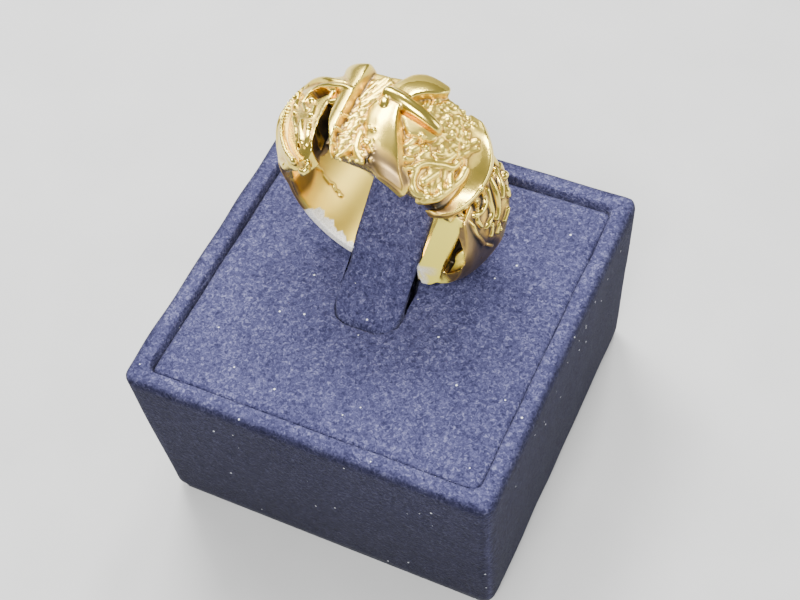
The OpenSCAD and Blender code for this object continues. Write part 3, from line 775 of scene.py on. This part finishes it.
# How far across the left leg the scuffed place reaches, at five places along the leg.
scuffed_to = np.interp(turn, [211, 216, 228, 240, 262], [-5.3, -4.1, -4.0, -4.4, -4.9]) + ragged
worn_left = (turn > 211) * (turn < 262) * rise(scuffed_to - across, -0.12, 0.12)
from_face = across - face_across(co[:, 2])
in_face = (co[:, 0] > 6) & (co[:, 0] < 13.3) & (co[:, 2] < 3.4) & (co[:, 2] > -9.3)
on_face = (np.abs(from_face) < 0.14) & in_face
low_corner = co[:, 2] + 0.35 * (co[:, 0] - 7.7) < -7.7 + ragged
inner_edge = (co[:, 0] < 8.3 + ragged) & (co[:, 2] < -6.3)
worn_right = (np.abs(from_face) < 0.7) & (co[:, 0] > 6) & (co[:, 0] < 11.4) & (low_corner | inner_edge)
# The pocket's floor is painted bright, as where light falls on it: an ellipse in the plan of the face.
pocket_x, pocket_z = co[:, 0] - 13.2 - 0.3 * (co[:, 2] + 3.6), co[:, 2] + 3.6
in_pocket = (np.hypot(pocket_x / 0.75, pocket_z / 1.7) < 1) & (np.abs(from_face - 1.0) < 0.9)
keep_values(ring, "worn", np.maximum(worn_left, worn_right))
keep_values(ring, "field", open_field)
# The filed face, and the pocket's floor painted bright as if lit, at 0.8.
keep_values(ring, "filed_and_lit_floor", np.maximum(on_face & ~worn_right, 0.8 * in_pocket))
keep_values(ring, "satin", (radius < 10.7) & (turn > 180) & (turn < 270))
print("worn points:", int((np.maximum(worn_left, worn_right) > 0.5).sum()))

# %% [markdown]
# ## Depth, and painted shade
#
# Polishing reaches the crests and never the hollows. A point is deep when its surroundings, smoothed
# over a few or over many steps, lie above it. Shade and dark reflections are painted in as darker
# colour: below the rims, on the outer side of the right flap, on a dome, by the left leg and in the cuts.

# %% Measure how deep each point lies
def hollowness(obj, steps, full):
    """How far each point lies below (+) or above (-) its surroundings, as a share of a full hollow."""
    mesh = obj.data
    pairs = np.empty(len(mesh.edges) * 2, np.int64)
    mesh.edges.foreach_get("vertices", pairs)
    a, b = pairs.reshape(-1, 2).T
    count = len(mesh.vertices)
    start = points_of(obj)
    co = start.copy()
    links = np.bincount(a, minlength=count) + np.bincount(b, minlength=count)
    for step in range(steps):
        for k in range(3):
            total = np.bincount(a, co[b, k], count) + np.bincount(b, co[a, k], count)
            co[:, k] = 0.5 * co[:, k] + 0.5 * total / np.maximum(links, 1)
    normals = np.empty(count * 3)
    mesh.vertices.foreach_get("normal", normals)
    return np.clip(((co - start) * normals.reshape(-1, 3)).sum(1) / full, -1, 1)


# No hollow darkening on the pocket's painted bright floor.
recess = hollowness(ring, 24, 0.09) * (1 - in_pocket)
keep_values(ring, "recess", recess)
keep_values(ring, "hollow", hollowness(ring, 160, 0.35) * (1 - in_pocket))
print("share of points in recesses:", round(float((recess > 0.2).mean()), 2))

# %% Mark the painted shade
# Painted dark reflection on the outer side of the right flap, as far as its leaves reach.
leaf_end = np.interp(angle, [-40, -20, -14, -6, 4, 12, 20], [4.5, 2.8, 1.0, -0.6, -2.2, -2.0, -3.0])
shell = (rise(leaf_end - across, -0.2, 1.0) * rise(radius, 12.5, 13.2)
         * rise(angle, -60, -45) * rise(-angle, -20, -12))
# Painted shade between its leaves.
between_leaves = (rise(angle, -40, -30) * rise(-angle, -25, -19) * (radius > 12.6)
                  * rise(recess, -0.15, 0.6))
# Painted shade under the right rim, and on the steep side of the first rim.
rim_front = np.interp(across, [-6.5, -5.4, -4.6, -3.3], [38.5, 36, 33.5, 31.5])
under_rim = (rise(angle, 17, 21) * rise(-angle, -45, -38) * rise(-across, 2.6, 4.6)
             * rise(rim_front - angle, 0, 1.5))
crest = np.interp(across, [row[0] for row in FIRST_RIM], [row[2] for row in FIRST_RIM])
rim_side = rise(crest - angle, 0.2, 0.9) * rise(angle - crest, -3.2, -2.4) * (np.abs(across) < 6.2)
# Painted dark reflection on the front end of the middle rim's dome.
dome_foot = (rise(-across, 4.4, 6.2) * rise(angle, 50, 53) * rise(-angle, -80, -76)
             * (radius > 12.2))
# Painted shade outside the left leg, and the flap's painted shadow inside it.
left_side = (rise(turn, 162, 168) * rise(-turn, -216, -209) * rise(radius, 10.45, 10.9)
             * rise(-across, 1.5, 3.0))
inner_shadow = ((radius < 10.6) * rise(turn, 180, 184) * rise(-turn, -204, -196)
               * rise(-across - 0.18 * (turn - 190), 0.2, 1.6))
# Painted shade in the cuts.
near_pocket = (co[:, 0] > 11.3) & (co[:, 0] < 14.7) & (co[:, 2] < 1.2) & (co[:, 2] > -5.2)
pocket_walls = (from_face > 0.2) & (from_face < 2) & near_pocket
in_wedge = inside(WEDGE, angle, across) & (radius < 13.7)
in_hollow = inside(STRAP_HOLLOW, angle, across) & (radius < 14.3)
# All the painted shade and dark reflections, kept in the points for the gold to darken.
painted_dark = np.max([dome_foot * 0.9, shell * (1 - on_face), under_rim, left_side, inner_shadow,
                 pocket_walls * 0.8, in_wedge * 1.1, in_hollow * 0.4, between_leaves * 0.7,
                 rim_side * 0.25], axis=0)
keep_values(ring, "painted_shade", painted_dark * (1 - in_pocket))
print("share of shade_painted points:", round(float((painted_dark > 0.5).mean()), 2))

# %% [markdown]
# ## Thin out, and into the clip
#
# The melted skin has far more triangles than the relief needs. They are thinned out, except inside the
# left leg, where long triangles would blur the edge of the scuffed place. Then the ring takes its
# place in the clip, and stands for its solid.

# %% Thin the mesh and set the ring in its place
TRIANGLES = 190000
ring.data.calc_loop_triangles()
share = TRIANGLES / len(ring.data.loop_triangles)
print("share of the triangles that is kept:", round(share, 2))
if share < 1:
    kept = ring.vertex_groups.new(name="kept")
    inner_left = (radius < 10.8) & (turn > 180) & (turn < 270)
    kept.add(np.nonzero(inner_left)[0].tolist(), 1.0, "REPLACE")
    apply(ring, "DECIMATE", ratio=share, vertex_group="kept", invert_vertex_group=True)
report(ring)
ring.data.transform(Matrix.Translation(RING_MIDDLE) @ Matrix.Rotation(RING_TURN, 4, "Z")
                    @ Matrix.Scale(MM, 4))
select_only(ring)
bpy.ops.object.shade_smooth()
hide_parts("ring")
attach(ring, "root")

# %% [markdown]
# ## The covered block
#
# The stand is a small box wrapped in suede, a little wider at its top, with a soft rim round a sunken
# pad. A cube is tapered, its top is inset and pushed down for the pocket, and its edges are bevelled.
# Cloth never lies quite true over card, so the skin is then remade with even points, relaxed, and
# given a very slight wave.

# %% Pick faces, edges or points by where they lie
def choose(obj, kind, test):
    """Goes to edit mode with those faces, edges or points selected whose points all pass a test."""
    select_only(obj)
    bpy.ops.object.mode_set(mode="EDIT")
    bpy.ops.mesh.select_mode(type=kind)
    bpy.ops.mesh.select_all(action="DESELECT")
    bpy.ops.object.mode_set(mode="OBJECT")
    co = points_of(obj)
    mesh = obj.data
    if kind == "VERT":
        for v in mesh.vertices:
            v.select = bool(test(co[[v.index]]))
    else:
        for item in (mesh.edges if kind == "EDGE" else mesh.polygons):
            item.select = bool(test(co[list(item.vertices)]))
    bpy.ops.object.mode_set(mode="EDIT")


def done():
    bpy.ops.object.mode_set(mode="OBJECT")


print("can pick by place")

# %% Shape the block
BLOCK_W, BLOCK_TOP, BLOCK_FOOT, LEAN = 0.05, 0.029, 0.001, 0.0011
RIM_W, PAD_TOP, PAD_T = 0.0027, 0.028, 0.007
POCKET_FLOOR = PAD_TOP - PAD_T - 0.0003
CORNER_BEVEL, RIM_BEVEL = 0.0017, 0.0009
BLOCK_VOXEL, PAD_VOXEL = 0.0005, 0.0004
WAVE_DEPTH = 0.00005


def new_cube(name, size, low, high):
    bpy.ops.object.select_all(action="DESELECT")
    bpy.ops.mesh.primitive_cube_add(size=1, location=(0, 0, (low + high) / 2))
    bpy.ops.transform.resize(value=(size, size, high - low), center_override=(0, 0, (low + high) / 2))
    cube = bpy.context.active_object
    cube.name = name
    bpy.ops.object.transform_apply(location=True, rotation=True, scale=True)
    return cube


def relax(obj, voxel, steps):
    """Even points all over, and softer edges."""
    apply(obj, "REMESH", mode="VOXEL", voxel_size=voxel, use_smooth_shade=True)
    return apply(obj, "SMOOTH", factor=0.5, iterations=steps)


def wave(obj, depth, length, seed):
    """Moves each point along its normal by a smooth, slow wave, as cloth lies on card."""
    co = points_of(obj)
    normals = np.empty(len(co) * 3)
    obj.data.vertices.foreach_get("normal", normals)
    rng = np.random.default_rng(seed)
    height = np.zeros(len(co))
    for k in range(10):
        way = rng.normal(size=3)
        way *= rng.uniform(0.7, 1.8) * 2 * math.pi / length / np.linalg.norm(way)
        height += np.sin(co @ way + rng.uniform(0, 2 * math.pi))
    move_points(obj, co + normals.reshape(-1, 3) * (height / 4 * depth)[:, None])
    return obj


block = new_cube("stand_suede_block", BLOCK_W, BLOCK_FOOT, BLOCK_TOP)
choose(block, "VERT", lambda p: p[0, 2] < 0.015)
slim = 1 - 2 * LEAN / BLOCK_W
bpy.ops.transform.resize(value=(slim, slim, 1), center_override=(0, 0, BLOCK_FOOT))
done()
choose(block, "FACE", lambda p: p[:, 2].min() > 0.02)
bpy.ops.mesh.inset(thickness=RIM_W)
bpy.ops.mesh.extrude_region_move(TRANSFORM_OT_translate={"value": (0, 0, POCKET_FLOOR - BLOCK_TOP)})
done()
choose(block, "EDGE", lambda p: abs(p[0, 2] - p[1, 2]) > 0.02)
bpy.ops.mesh.bevel(offset=CORNER_BEVEL, segments=5)
done()
choose(block, "EDGE", lambda p: p[:, 2].min() > BLOCK_TOP - 1e-5)
bpy.ops.mesh.bevel(offset=RIM_BEVEL, segments=3, clamp_overlap=True)
done()
report(block)
relax(block, BLOCK_VOXEL, 4)
wave(block, WAVE_DEPTH, length=0.012, seed=3)
report(block)

# %% [markdown]
# ## The clip
#
# A padded suede tongue comes up out of the pad, turns over a round nose and slants back through the
# ring. Its long edges are round, its front is bowed, and it sags a little behind the nose, where the
# card in it bends. Side views of it, one beside the other across its width, make the loft: towards an
# edge the side view gets thinner, and its nose lies further back.

# %% Loft the clip across its width
CLIP_W, CLIP_T, CLIP_X = 0.009, 0.0016, -0.00065
CLIP_NOSE_Y, CLIP_LENGTH = -0.0066, 0.025
CLIP_SLOPE = math.radians(35)
NOSE_R, NOSE_Z = 0.002, 0.02665
EDGE_R, NOSE_CORNER, TIP_CORNER = 0.00085, 0.0026, 0.003
SAG, SAG_LENGTH = 0.00085, 0.0095
FOOT_Z = PAD_TOP - PAD_T + 0.0006


def round_back(x, corner):
    """How far the plan of a round corner lies back at a place across the clip."""
    past = np.clip(np.abs(x) - (CLIP_W / 2 - corner), 0, corner)
    return corner - np.sqrt(corner**2 - past**2)


def clip_section(x):
    """The side view of the clip at a place across it, as a loop of points."""
    slope = np.array([math.cos(CLIP_SLOPE), math.sin(CLIP_SLOPE)])
    up = np.array([-slope[1], slope[0]])
    past = np.clip(abs(x) - (CLIP_W / 2 - EDGE_R), 0, EDGE_R) / EDGE_R
    half = CLIP_T / 2 * math.sqrt(max(1 - past**2, 0.02)) * (1.0 - 0.35 * (x / CLIP_W * 2) ** 2)
    nose = np.array([CLIP_NOSE_Y + NOSE_R, NOSE_Z])
    bend = nose + slope * round_back(x, NOSE_CORNER) / slope[0]
    middle_r = NOSE_R - CLIP_T / 2
    foot = np.array([bend[0] - middle_r, FOOT_Z])
    # The middle line: up from the foot, over the nose, and along the slope with its sag.
    turn = np.radians(np.linspace(180, 90 + math.degrees(CLIP_SLOPE), 9))
    line = [foot, foot * 0.5 + np.array([foot[0], bend[1]]) * 0.5]
    line += [bend + middle_r * np.array([math.cos(t), math.sin(t)]) for t in turn]
    start = line[-1]
    far = nose + middle_r * up + slope * (CLIP_LENGTH - round_back(x, TIP_CORNER))
    steps = 24
    for k in range(1, steps + 1):
        sag = SAG * math.sin(math.pi * min(k / steps * CLIP_LENGTH / SAG_LENGTH, 1)) ** 2
        line.append(start + (far - start) * k / steps - up * sag)
    line = np.array(line)
    ahead = np.gradient(line, axis=0)
    ahead /= np.linalg.norm(ahead, axis=1)[:, None]
    side = np.stack([-ahead[:, 1], ahead[:, 0]], 1)
    tip = [line[-1] + half * (side[-1] * math.cos(a) + ahead[-1] * math.sin(a))
           for a in np.radians([22, 45, 67, 90, 113, 135, 158])]
    # Its edges stay deep below, so that no light shows between clip and pad.
    deeper = np.interp(np.arange(len(line)), [10, 12, 15, 19], [0, 0.0001, 0.0003, 0])
    under = max(half, 0.38 * CLIP_T) + deeper[:, None]
    outline = np.concatenate([line + side * half, tip, (line - side * under)[::-1]])
    return np.column_stack([np.full(len(outline), x + CLIP_X), outline])


across = CLIP_W / 2 * np.sin(np.radians(np.linspace(-89, 89, 41)))
clip = ball_to_sections("stand_clip", [clip_section(x) for x in across])
report(clip)

# %% [markdown]
# ## The pad
#
# The pad is foam under the same suede, sunk in the pocket. It is crowned a little, and its edges are
# drawn down, which leaves the dark crease along the rim. The clip comes up through a slot cut in the
# foam. The cutter has the clip's own plan, a hair narrower, as the suede closes round the clip.

# %% Shape the pad
pad = new_cube("stand_suede_pad", BLOCK_W - 2 * RIM_W - 0.0001, PAD_TOP - PAD_T, PAD_TOP)
choose(pad, "EDGE", lambda p: abs(p[0, 2] - p[1, 2]) > 0.002)
bpy.ops.mesh.bevel(offset=0.0008, segments=4)
done()
choose(pad, "EDGE", lambda p: p[:, 2].min() > PAD_TOP - 1e-5)
bpy.ops.mesh.bevel(offset=0.0007, segments=3)
done()

report(pad)

# %% Cut the slot for the clip
SLOT_GAP, SLOT_LENGTH = -0.0001, 0.0048
bpy.ops.object.select_all(action="DESELECT")
bpy.ops.mesh.primitive_cylinder_add(vertices=48, radius=1, depth=0.02, location=(0, 0, PAD_TOP))
slot = bpy.context.active_object
bpy.ops.object.transform_apply(location=True, rotation=True, scale=True)
co = points_of(slot)
around = np.arctan2(co[:, 1], co[:, 0])
corner = NOSE_CORNER + SLOT_GAP
half_w = CLIP_W / 2 + SLOT_GAP
centre_x = np.where(np.cos(around) > 0, half_w - corner, corner - half_w)
co[:, 0] = CLIP_X + centre_x + corner * np.cos(around)
co[:, 1] = np.where(np.sin(around) < 0.01,
                    CLIP_NOSE_Y - SLOT_GAP + corner + corner * np.sin(around), CLIP_NOSE_Y + SLOT_LENGTH)
move_points(slot, co)
face_outwards(slot)
apply(pad, "BOOLEAN", operation="DIFFERENCE", object=slot, solver="EXACT")
bpy.data.objects.remove(slot)
report(pad)

# %% Crown the pad
CROWN, CROWN_HALF_W = 0.00012, 0.0222
relax(pad, PAD_VOXEL, 3)
co = points_of(pad)
high = np.clip((co[:, 2] - (PAD_TOP - PAD_T)) / PAD_T, 0, 1)
middle = np.clip(1 - (np.abs(co[:, :2]) / CROWN_HALF_W).max(1) ** 4, 0, 1)
co[:, 2] += CROWN * middle * high
move_points(pad, co)
wave(pad, WAVE_DEPTH, length=0.011, seed=8)
report(pad)

# %% [markdown]
# ## Painted shade on the suede
#
# Shade is painted on the four sides of the block, darker towards the foot, and on the front of the
# clip's nose and its long edges, and how much is kept in their points. The pieces then stand for their
# solids.

# %% Mark the painted shade on the sides and hand the pieces over
co = points_of(block)
down = (BLOCK_TOP - co[:, 2]) / (BLOCK_TOP - BLOCK_FOOT)
outward = np.abs(co[:, :2]).max(1) + LEAN * down
# Painted shade on the block's sides, darker towards the foot.
keep_values(block, "side_shade", (0.70 + 0.14 * down) * rise(outward, 0.0238, 0.0248))
co = points_of(clip)
from_middle = np.abs(co[:, 0] - CLIP_X)
# Painted shade on the front of the clip's nose and along its long edges.
keep_values(clip, "side_shade",
            0.6 * rise(-co[:, 1], 0.0056, 0.0070) + 0.2 * rise(from_middle, 0.0041, 0.0046))
for piece, solid, soft in ((block, "stand_block", False), (clip, "ring_clip", True),
                          (pad, "stand_pad", True)):
    select_only(piece)
    bpy.ops.object.shade_smooth()
    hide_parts(solid)
    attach(piece, "root")
    print(piece.name, "stands for", solid)

# %% [markdown]
# ## Building materials from nodes
#
# A material is a small graph: patterns made from the piece's own coordinates go into a shader. Each
# effect here is a node group that gives colours, masks and heights, so that it can be used again.

# %% Helpers for the node graphs
def node(tree, kind, inputs=(), **values):
    made = tree.nodes.new(kind)
    for key, value in values.items():
        setattr(made, key, value)
    for name, value in dict(inputs).items():
        if isinstance(value, bpy.types.NodeSocket):
            tree.links.new(value, made.inputs[name])
        else:
            made.inputs[name].default_value = value
    return made


def ramp(tree, source, *stops):
    """A colour or grey for each value of the source."""
    made = node(tree, "ShaderNodeValToRGB", {"Fac": source})
    elements = made.color_ramp.elements
    while len(elements) < len(stops):
        elements.new(0.5)
    for element, (place, colour) in zip(elements, stops):
        element.position = place
        element.color = (*((colour,) * 3 if isinstance(colour, float) else colour), 1)
    return made.outputs["Color"]


def maths(tree, operation, *values):
    made = tree.nodes.new("ShaderNodeMath")
    made.operation = operation
    for socket, value in zip(made.inputs, values):
        if isinstance(value, bpy.types.NodeSocket):
            tree.links.new(value, socket)
        else:
            socket.default_value = value
    return made.outputs[0]


def mix(tree, share, low, high):
    made = node(tree, "ShaderNodeMix", data_type="RGBA")
    colours = [s for s in made.inputs if s.type == "RGBA"]
    for socket, value in zip([made.inputs[0]] + colours, (share, low, high)):
        if isinstance(value, bpy.types.NodeSocket):
            tree.links.new(value, socket)
        else:
            socket.default_value = value if isinstance(value, float) else (*value, 1)
    return [s for s in made.outputs if s.type == "RGBA"][0]


def new_group(name, **outputs):
    """A node group with the named outputs, and its output node."""
    group = bpy.data.node_groups.new(name, "ShaderNodeTree")
    for label, kind in outputs.items():
        group.interface.new_socket(label, in_out="OUTPUT", socket_type=kind)
    return group, group.nodes.new("NodeGroupOutput")


def noise(tree, scale, detail=2.0, distortion=0.0):
    place = tree.nodes.new("ShaderNodeTexCoord").outputs["Object"]
    return node(tree, "ShaderNodeTexNoise", {"Vector": place, "Scale": scale, "Detail": detail,
                                             "Distortion": distortion}).outputs["Fac"]


def stored(tree, name):
    """A value that was kept in the points of the piece; 0 where the piece has none."""
    return node(tree, "ShaderNodeAttribute", attribute_name=name).outputs["Fac"]


def new_material(name, group, bump, **constants):
    """A shader fed by the group's outputs of the same names, and by a bump from its Height."""
    material = bpy.data.materials.new(name)
    material.use_nodes = True
    tree = material.node_tree
    shader = tree.nodes["Principled BSDF"]
    look = node(tree, "ShaderNodeGroup", node_tree=group)
    for output in look.outputs:
        if output.name in shader.inputs:
            tree.links.new(output, shader.inputs[output.name])
    strength, distance = bump
    raised = node(tree, "ShaderNodeBump", {"Height": look.outputs["Height"], "Strength": strength,
                                           "Distance": distance})
    tree.links.new(raised.outputs["Normal"], shader.inputs["Normal"])
    for key, value in constants.items():
        shader.inputs[key.replace("_", " ")].default_value = value
    print("material", name, "from the group", group.name)
    return material


COLOUR, VALUE = "NodeSocketColor", "NodeSocketFloat"
print("node helpers ready")

# %% [markdown]
# ## Old gold
#
# Gold with much copper in it, cast and polished by hand, then worn. Crests are bright. In the recesses
# an orange to brown patina was left, as polishing never reached them. Two scuffed places at the lower
# ends of the legs are pale and rough. How deep each point lies was stored in the ring, so one number,
# the depth, picks colour and polish together. Painted shade and painted dark reflections, also stored
# in the ring, deepen it further. The filed face, the pocket floor painted bright as if lit, and the worn
# places are laid over it.

# %% Make the gold
group, out = new_group("aged_gold", **{"Base Color": COLOUR, "Roughness": VALUE, "Metallic": VALUE,
                                       "Height": VALUE})
cloud = noise(group, 420.0, 3.0)
grain = noise(group, 5200.0, 3.0)
worn, filed_and_lit_floor = stored(group, "worn"), stored(group, "filed_and_lit_floor")
# Depth: 0.4 on open ground, more in hollows, narrow or wide, and where shade is painted, and a little
# cloudy.
depth = maths(group, "MULTIPLY_ADD", stored(group, "recess"), 0.24, 0.40)
depth = maths(group, "MULTIPLY_ADD", stored(group, "hollow"), 0.22, depth)
depth = maths(group, "ADD", depth, maths(group, "MULTIPLY_ADD", cloud, 0.2, -0.1))
# Painted shade and dark reflections, kept in the points, darken the gold further.
depth = maths(group, "MULTIPLY_ADD", stored(group, "painted_shade"), 0.50, depth)
# The brown to near-black end is reached in the deepest hollows and where shade is painted.
colour = ramp(group, depth, (0.0, (1.0, 0.80, 0.18)), (0.42, (0.95, 0.70, 0.12)),
              (0.58, (0.78, 0.50, 0.11)), (0.76, (0.30, 0.20, 0.09)), (1.0, (0.060, 0.050, 0.035)))
# The filed face, and the pocket's floor painted bright as if lit, are light yellow.
colour = mix(group, filed_and_lit_floor, colour, (1.0, 0.86, 0.12))
scuffs = ramp(group, grain, (0.35, (0.68, 0.65, 0.58)), (0.65, (1.0, 0.98, 0.93)))
polish = ramp(group, depth, (0.0, 0.17), (0.40, 0.22), (0.55, 0.34), (1.0, 0.45))
for rough, how in ((filed_and_lit_floor, 0.5), (stored(group, "satin"), 0.42), (stored(group, "field"), 0.34),
                   (worn, 0.62)):
    polish = maths(group, "MAXIMUM", polish, maths(group, "MULTIPLY", rough, how))
metal = maths(group, "MULTIPLY_ADD", filed_and_lit_floor, -0.75, 1.0)
pits = maths(group, "MULTIPLY", maths(group, "MULTIPLY", grain, worn), 1.5)
group.links.new(mix(group, worn, colour, scuffs), out.inputs["Base Color"])
group.links.new(polish, out.inputs["Roughness"])
group.links.new(maths(group, "MULTIPLY_ADD", worn, -0.75, metal), out.inputs["Metallic"])
group.links.new(maths(group, "MULTIPLY_ADD", noise(group, 1500.0, 2.0), 0.25, pits), out.inputs["Height"])
gold = new_material("gold", group, (0.35, 0.00006))
ring.data.materials.clear()
ring.data.materials.append(gold)

# %% [markdown]
# ## Suede
#
# Navy suede cloth: short fibres that lie every way in small worm-like tufts, lighter and darker, with
# specks of white lint caught in them. Where shade is painted, on the sides, the colour is nearly
# black. A little sheen on the shader is what fibres give at a grazing eye.

# %% Make the suede
group, out = new_group("suede_nap", **{"Base Color": COLOUR, "Roughness": VALUE, "Height": VALUE})
tufts = noise(group, 2500.0, 3.0, 1.0)
patches = noise(group, 850.0, 2.0, 0.6)
strokes = noise(group, 90.0, 2.0, 0.3)
nap = maths(group, "MULTIPLY_ADD", patches, 0.2, maths(group, "MULTIPLY", strokes, 0.1))
nap = maths(group, "MULTIPLY_ADD", tufts, 0.7, nap)
colour = ramp(group, nap, (0.36, (0.020, 0.020, 0.052)), (0.47, (0.040, 0.040, 0.093)),
              (0.56, (0.064, 0.064, 0.138)), (0.68, (0.150, 0.150, 0.265)))
# Painted shade: the sides go nearly black.
colour = mix(group, stored(group, "side_shade"), colour, (0.004, 0.004, 0.010))
# Lint: a speck in the middle of every fifth cell.
place = group.nodes.new("ShaderNodeTexCoord").outputs["Object"]
cell = node(group, "ShaderNodeTexVoronoi", {"Vector": place, "Scale": 640.0})
pick = node(group, "ShaderNodeSeparateColor", {"Color": cell.outputs["Color"]}).outputs[0]
lint = maths(group, "MULTIPLY", maths(group, "LESS_THAN", cell.outputs["Distance"], 0.085),
             maths(group, "GREATER_THAN", pick, 0.80))
group.links.new(mix(group, lint, colour, (0.72, 0.73, 0.78)), out.inputs["Base Color"])
group.links.new(maths(group, "MULTIPLY_ADD", tufts, 0.1, 0.85), out.inputs["Roughness"])
group.links.new(maths(group, "ADD", nap, maths(group, "MULTIPLY", lint, 0.3)), out.inputs["Height"])
suede = new_material("suede", group, (0.8, 0.00035), Sheen_Weight=0.04, Sheen_Roughness=0.45,
                     Specular_IOR_Level=0.05)
for piece in (block, clip, pad):
    piece.data.materials.append(suede)

# %% [markdown]
# ## Card
#
# Under the block is a thin board, nearly black, with a faint fibre in it. It is shown as its solid.

# %% Make the card
group, out = new_group("dark_card", **{"Base Color": COLOUR, "Roughness": VALUE, "Height": VALUE})
fibre = noise(group, 1200.0, 4.0, 0.5)
board = ramp(group, fibre, (0.3, (0.012, 0.013, 0.022)), (0.7, (0.028, 0.030, 0.048)))
group.links.new(board, out.inputs["Base Color"])
group.links.new(maths(group, "MULTIPLY_ADD", fibre, 0.15, 0.7), out.inputs["Roughness"])
group.links.new(fibre, out.inputs["Height"])
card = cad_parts["base_card"]
card.data.materials.clear()
card.data.materials.append(new_material("card", group, (0.3, 0.0001)))

# %% [markdown]
# ## Floor and light
#
# A plain pale table and soft lights. Polished gold shows little but what it reflects, so each light has
# its place: a window and a lower one at the back left draw the long white lights on the domes, a small
# one behind lights the bar and the right rim, and the front light falls on the filed face. The wide
# sky only fills the shadows, and isn't seen in the gold.

# %% Set the floor
bpy.ops.mesh.primitive_plane_add(size=3, location=(0, 0, 0))
floor = bpy.context.active_object
floor.name = "floor"
group, out = new_group("table_top", **{"Base Color": COLOUR, "Height": VALUE})
mottle = noise(group, 60.0, 3.0)
pale = ramp(group, mottle, (0.3, (0.44, 0.44, 0.435)), (0.7, (0.47, 0.47, 0.465)))
group.links.new(pale, out.inputs["Base Color"])
group.links.new(mottle, out.inputs["Height"])
floor.data.materials.append(new_material("floor", group, (0.05, 0.001), Roughness=0.6))


# %% Set the lights
def area_light(name, place, size, power, aim=(0, 0, 0.03)):
    data = bpy.data.lights.new(name, "AREA")
    data.shape = "RECTANGLE"
    data.size, data.size_y = size
    data.energy = power
    lamp = bpy.data.objects.new(name, data)
    bpy.context.scene.collection.objects.link(lamp)
    lamp.location = place
    lamp.rotation_euler = (Vector(aim) - Vector(place)).to_track_quat("-Z", "Y").to_euler()
    return lamp


# Each: name, place, size and power in watts.
LIGHTS = [
    ("window", (-0.26, 0.3, 0.58), (0.26, 0.2), 6), ("low_window", (-0.45, 0.3, 0.36), (0.3, 0.25), 2.5),
    ("sky", (0.1, -0.05, 0.9), (1.5, 1.3), 9), ("top_window", (0.0, 0.36, 0.56), (0.1, 0.1), 2.5),
    ("front", (0.12, -0.42, 0.6), (0.3, 0.24), 8), ("side", (0.6, 0.28, 0.25), (0.3, 0.3), 2)]
lamps = {name: area_light(name, place, size, power) for name, place, size, power in LIGHTS}
lamps["sky"].visible_glossy = False
print("lights:", ", ".join(lamps))
world = bpy.data.worlds.new("world")
bpy.context.scene.world = world
world.use_nodes = True
world.node_tree.nodes["Background"].inputs["Color"].default_value = (0.93, 0.96, 1.0, 1)
world.node_tree.nodes["Background"].inputs["Strength"].default_value = 0.31
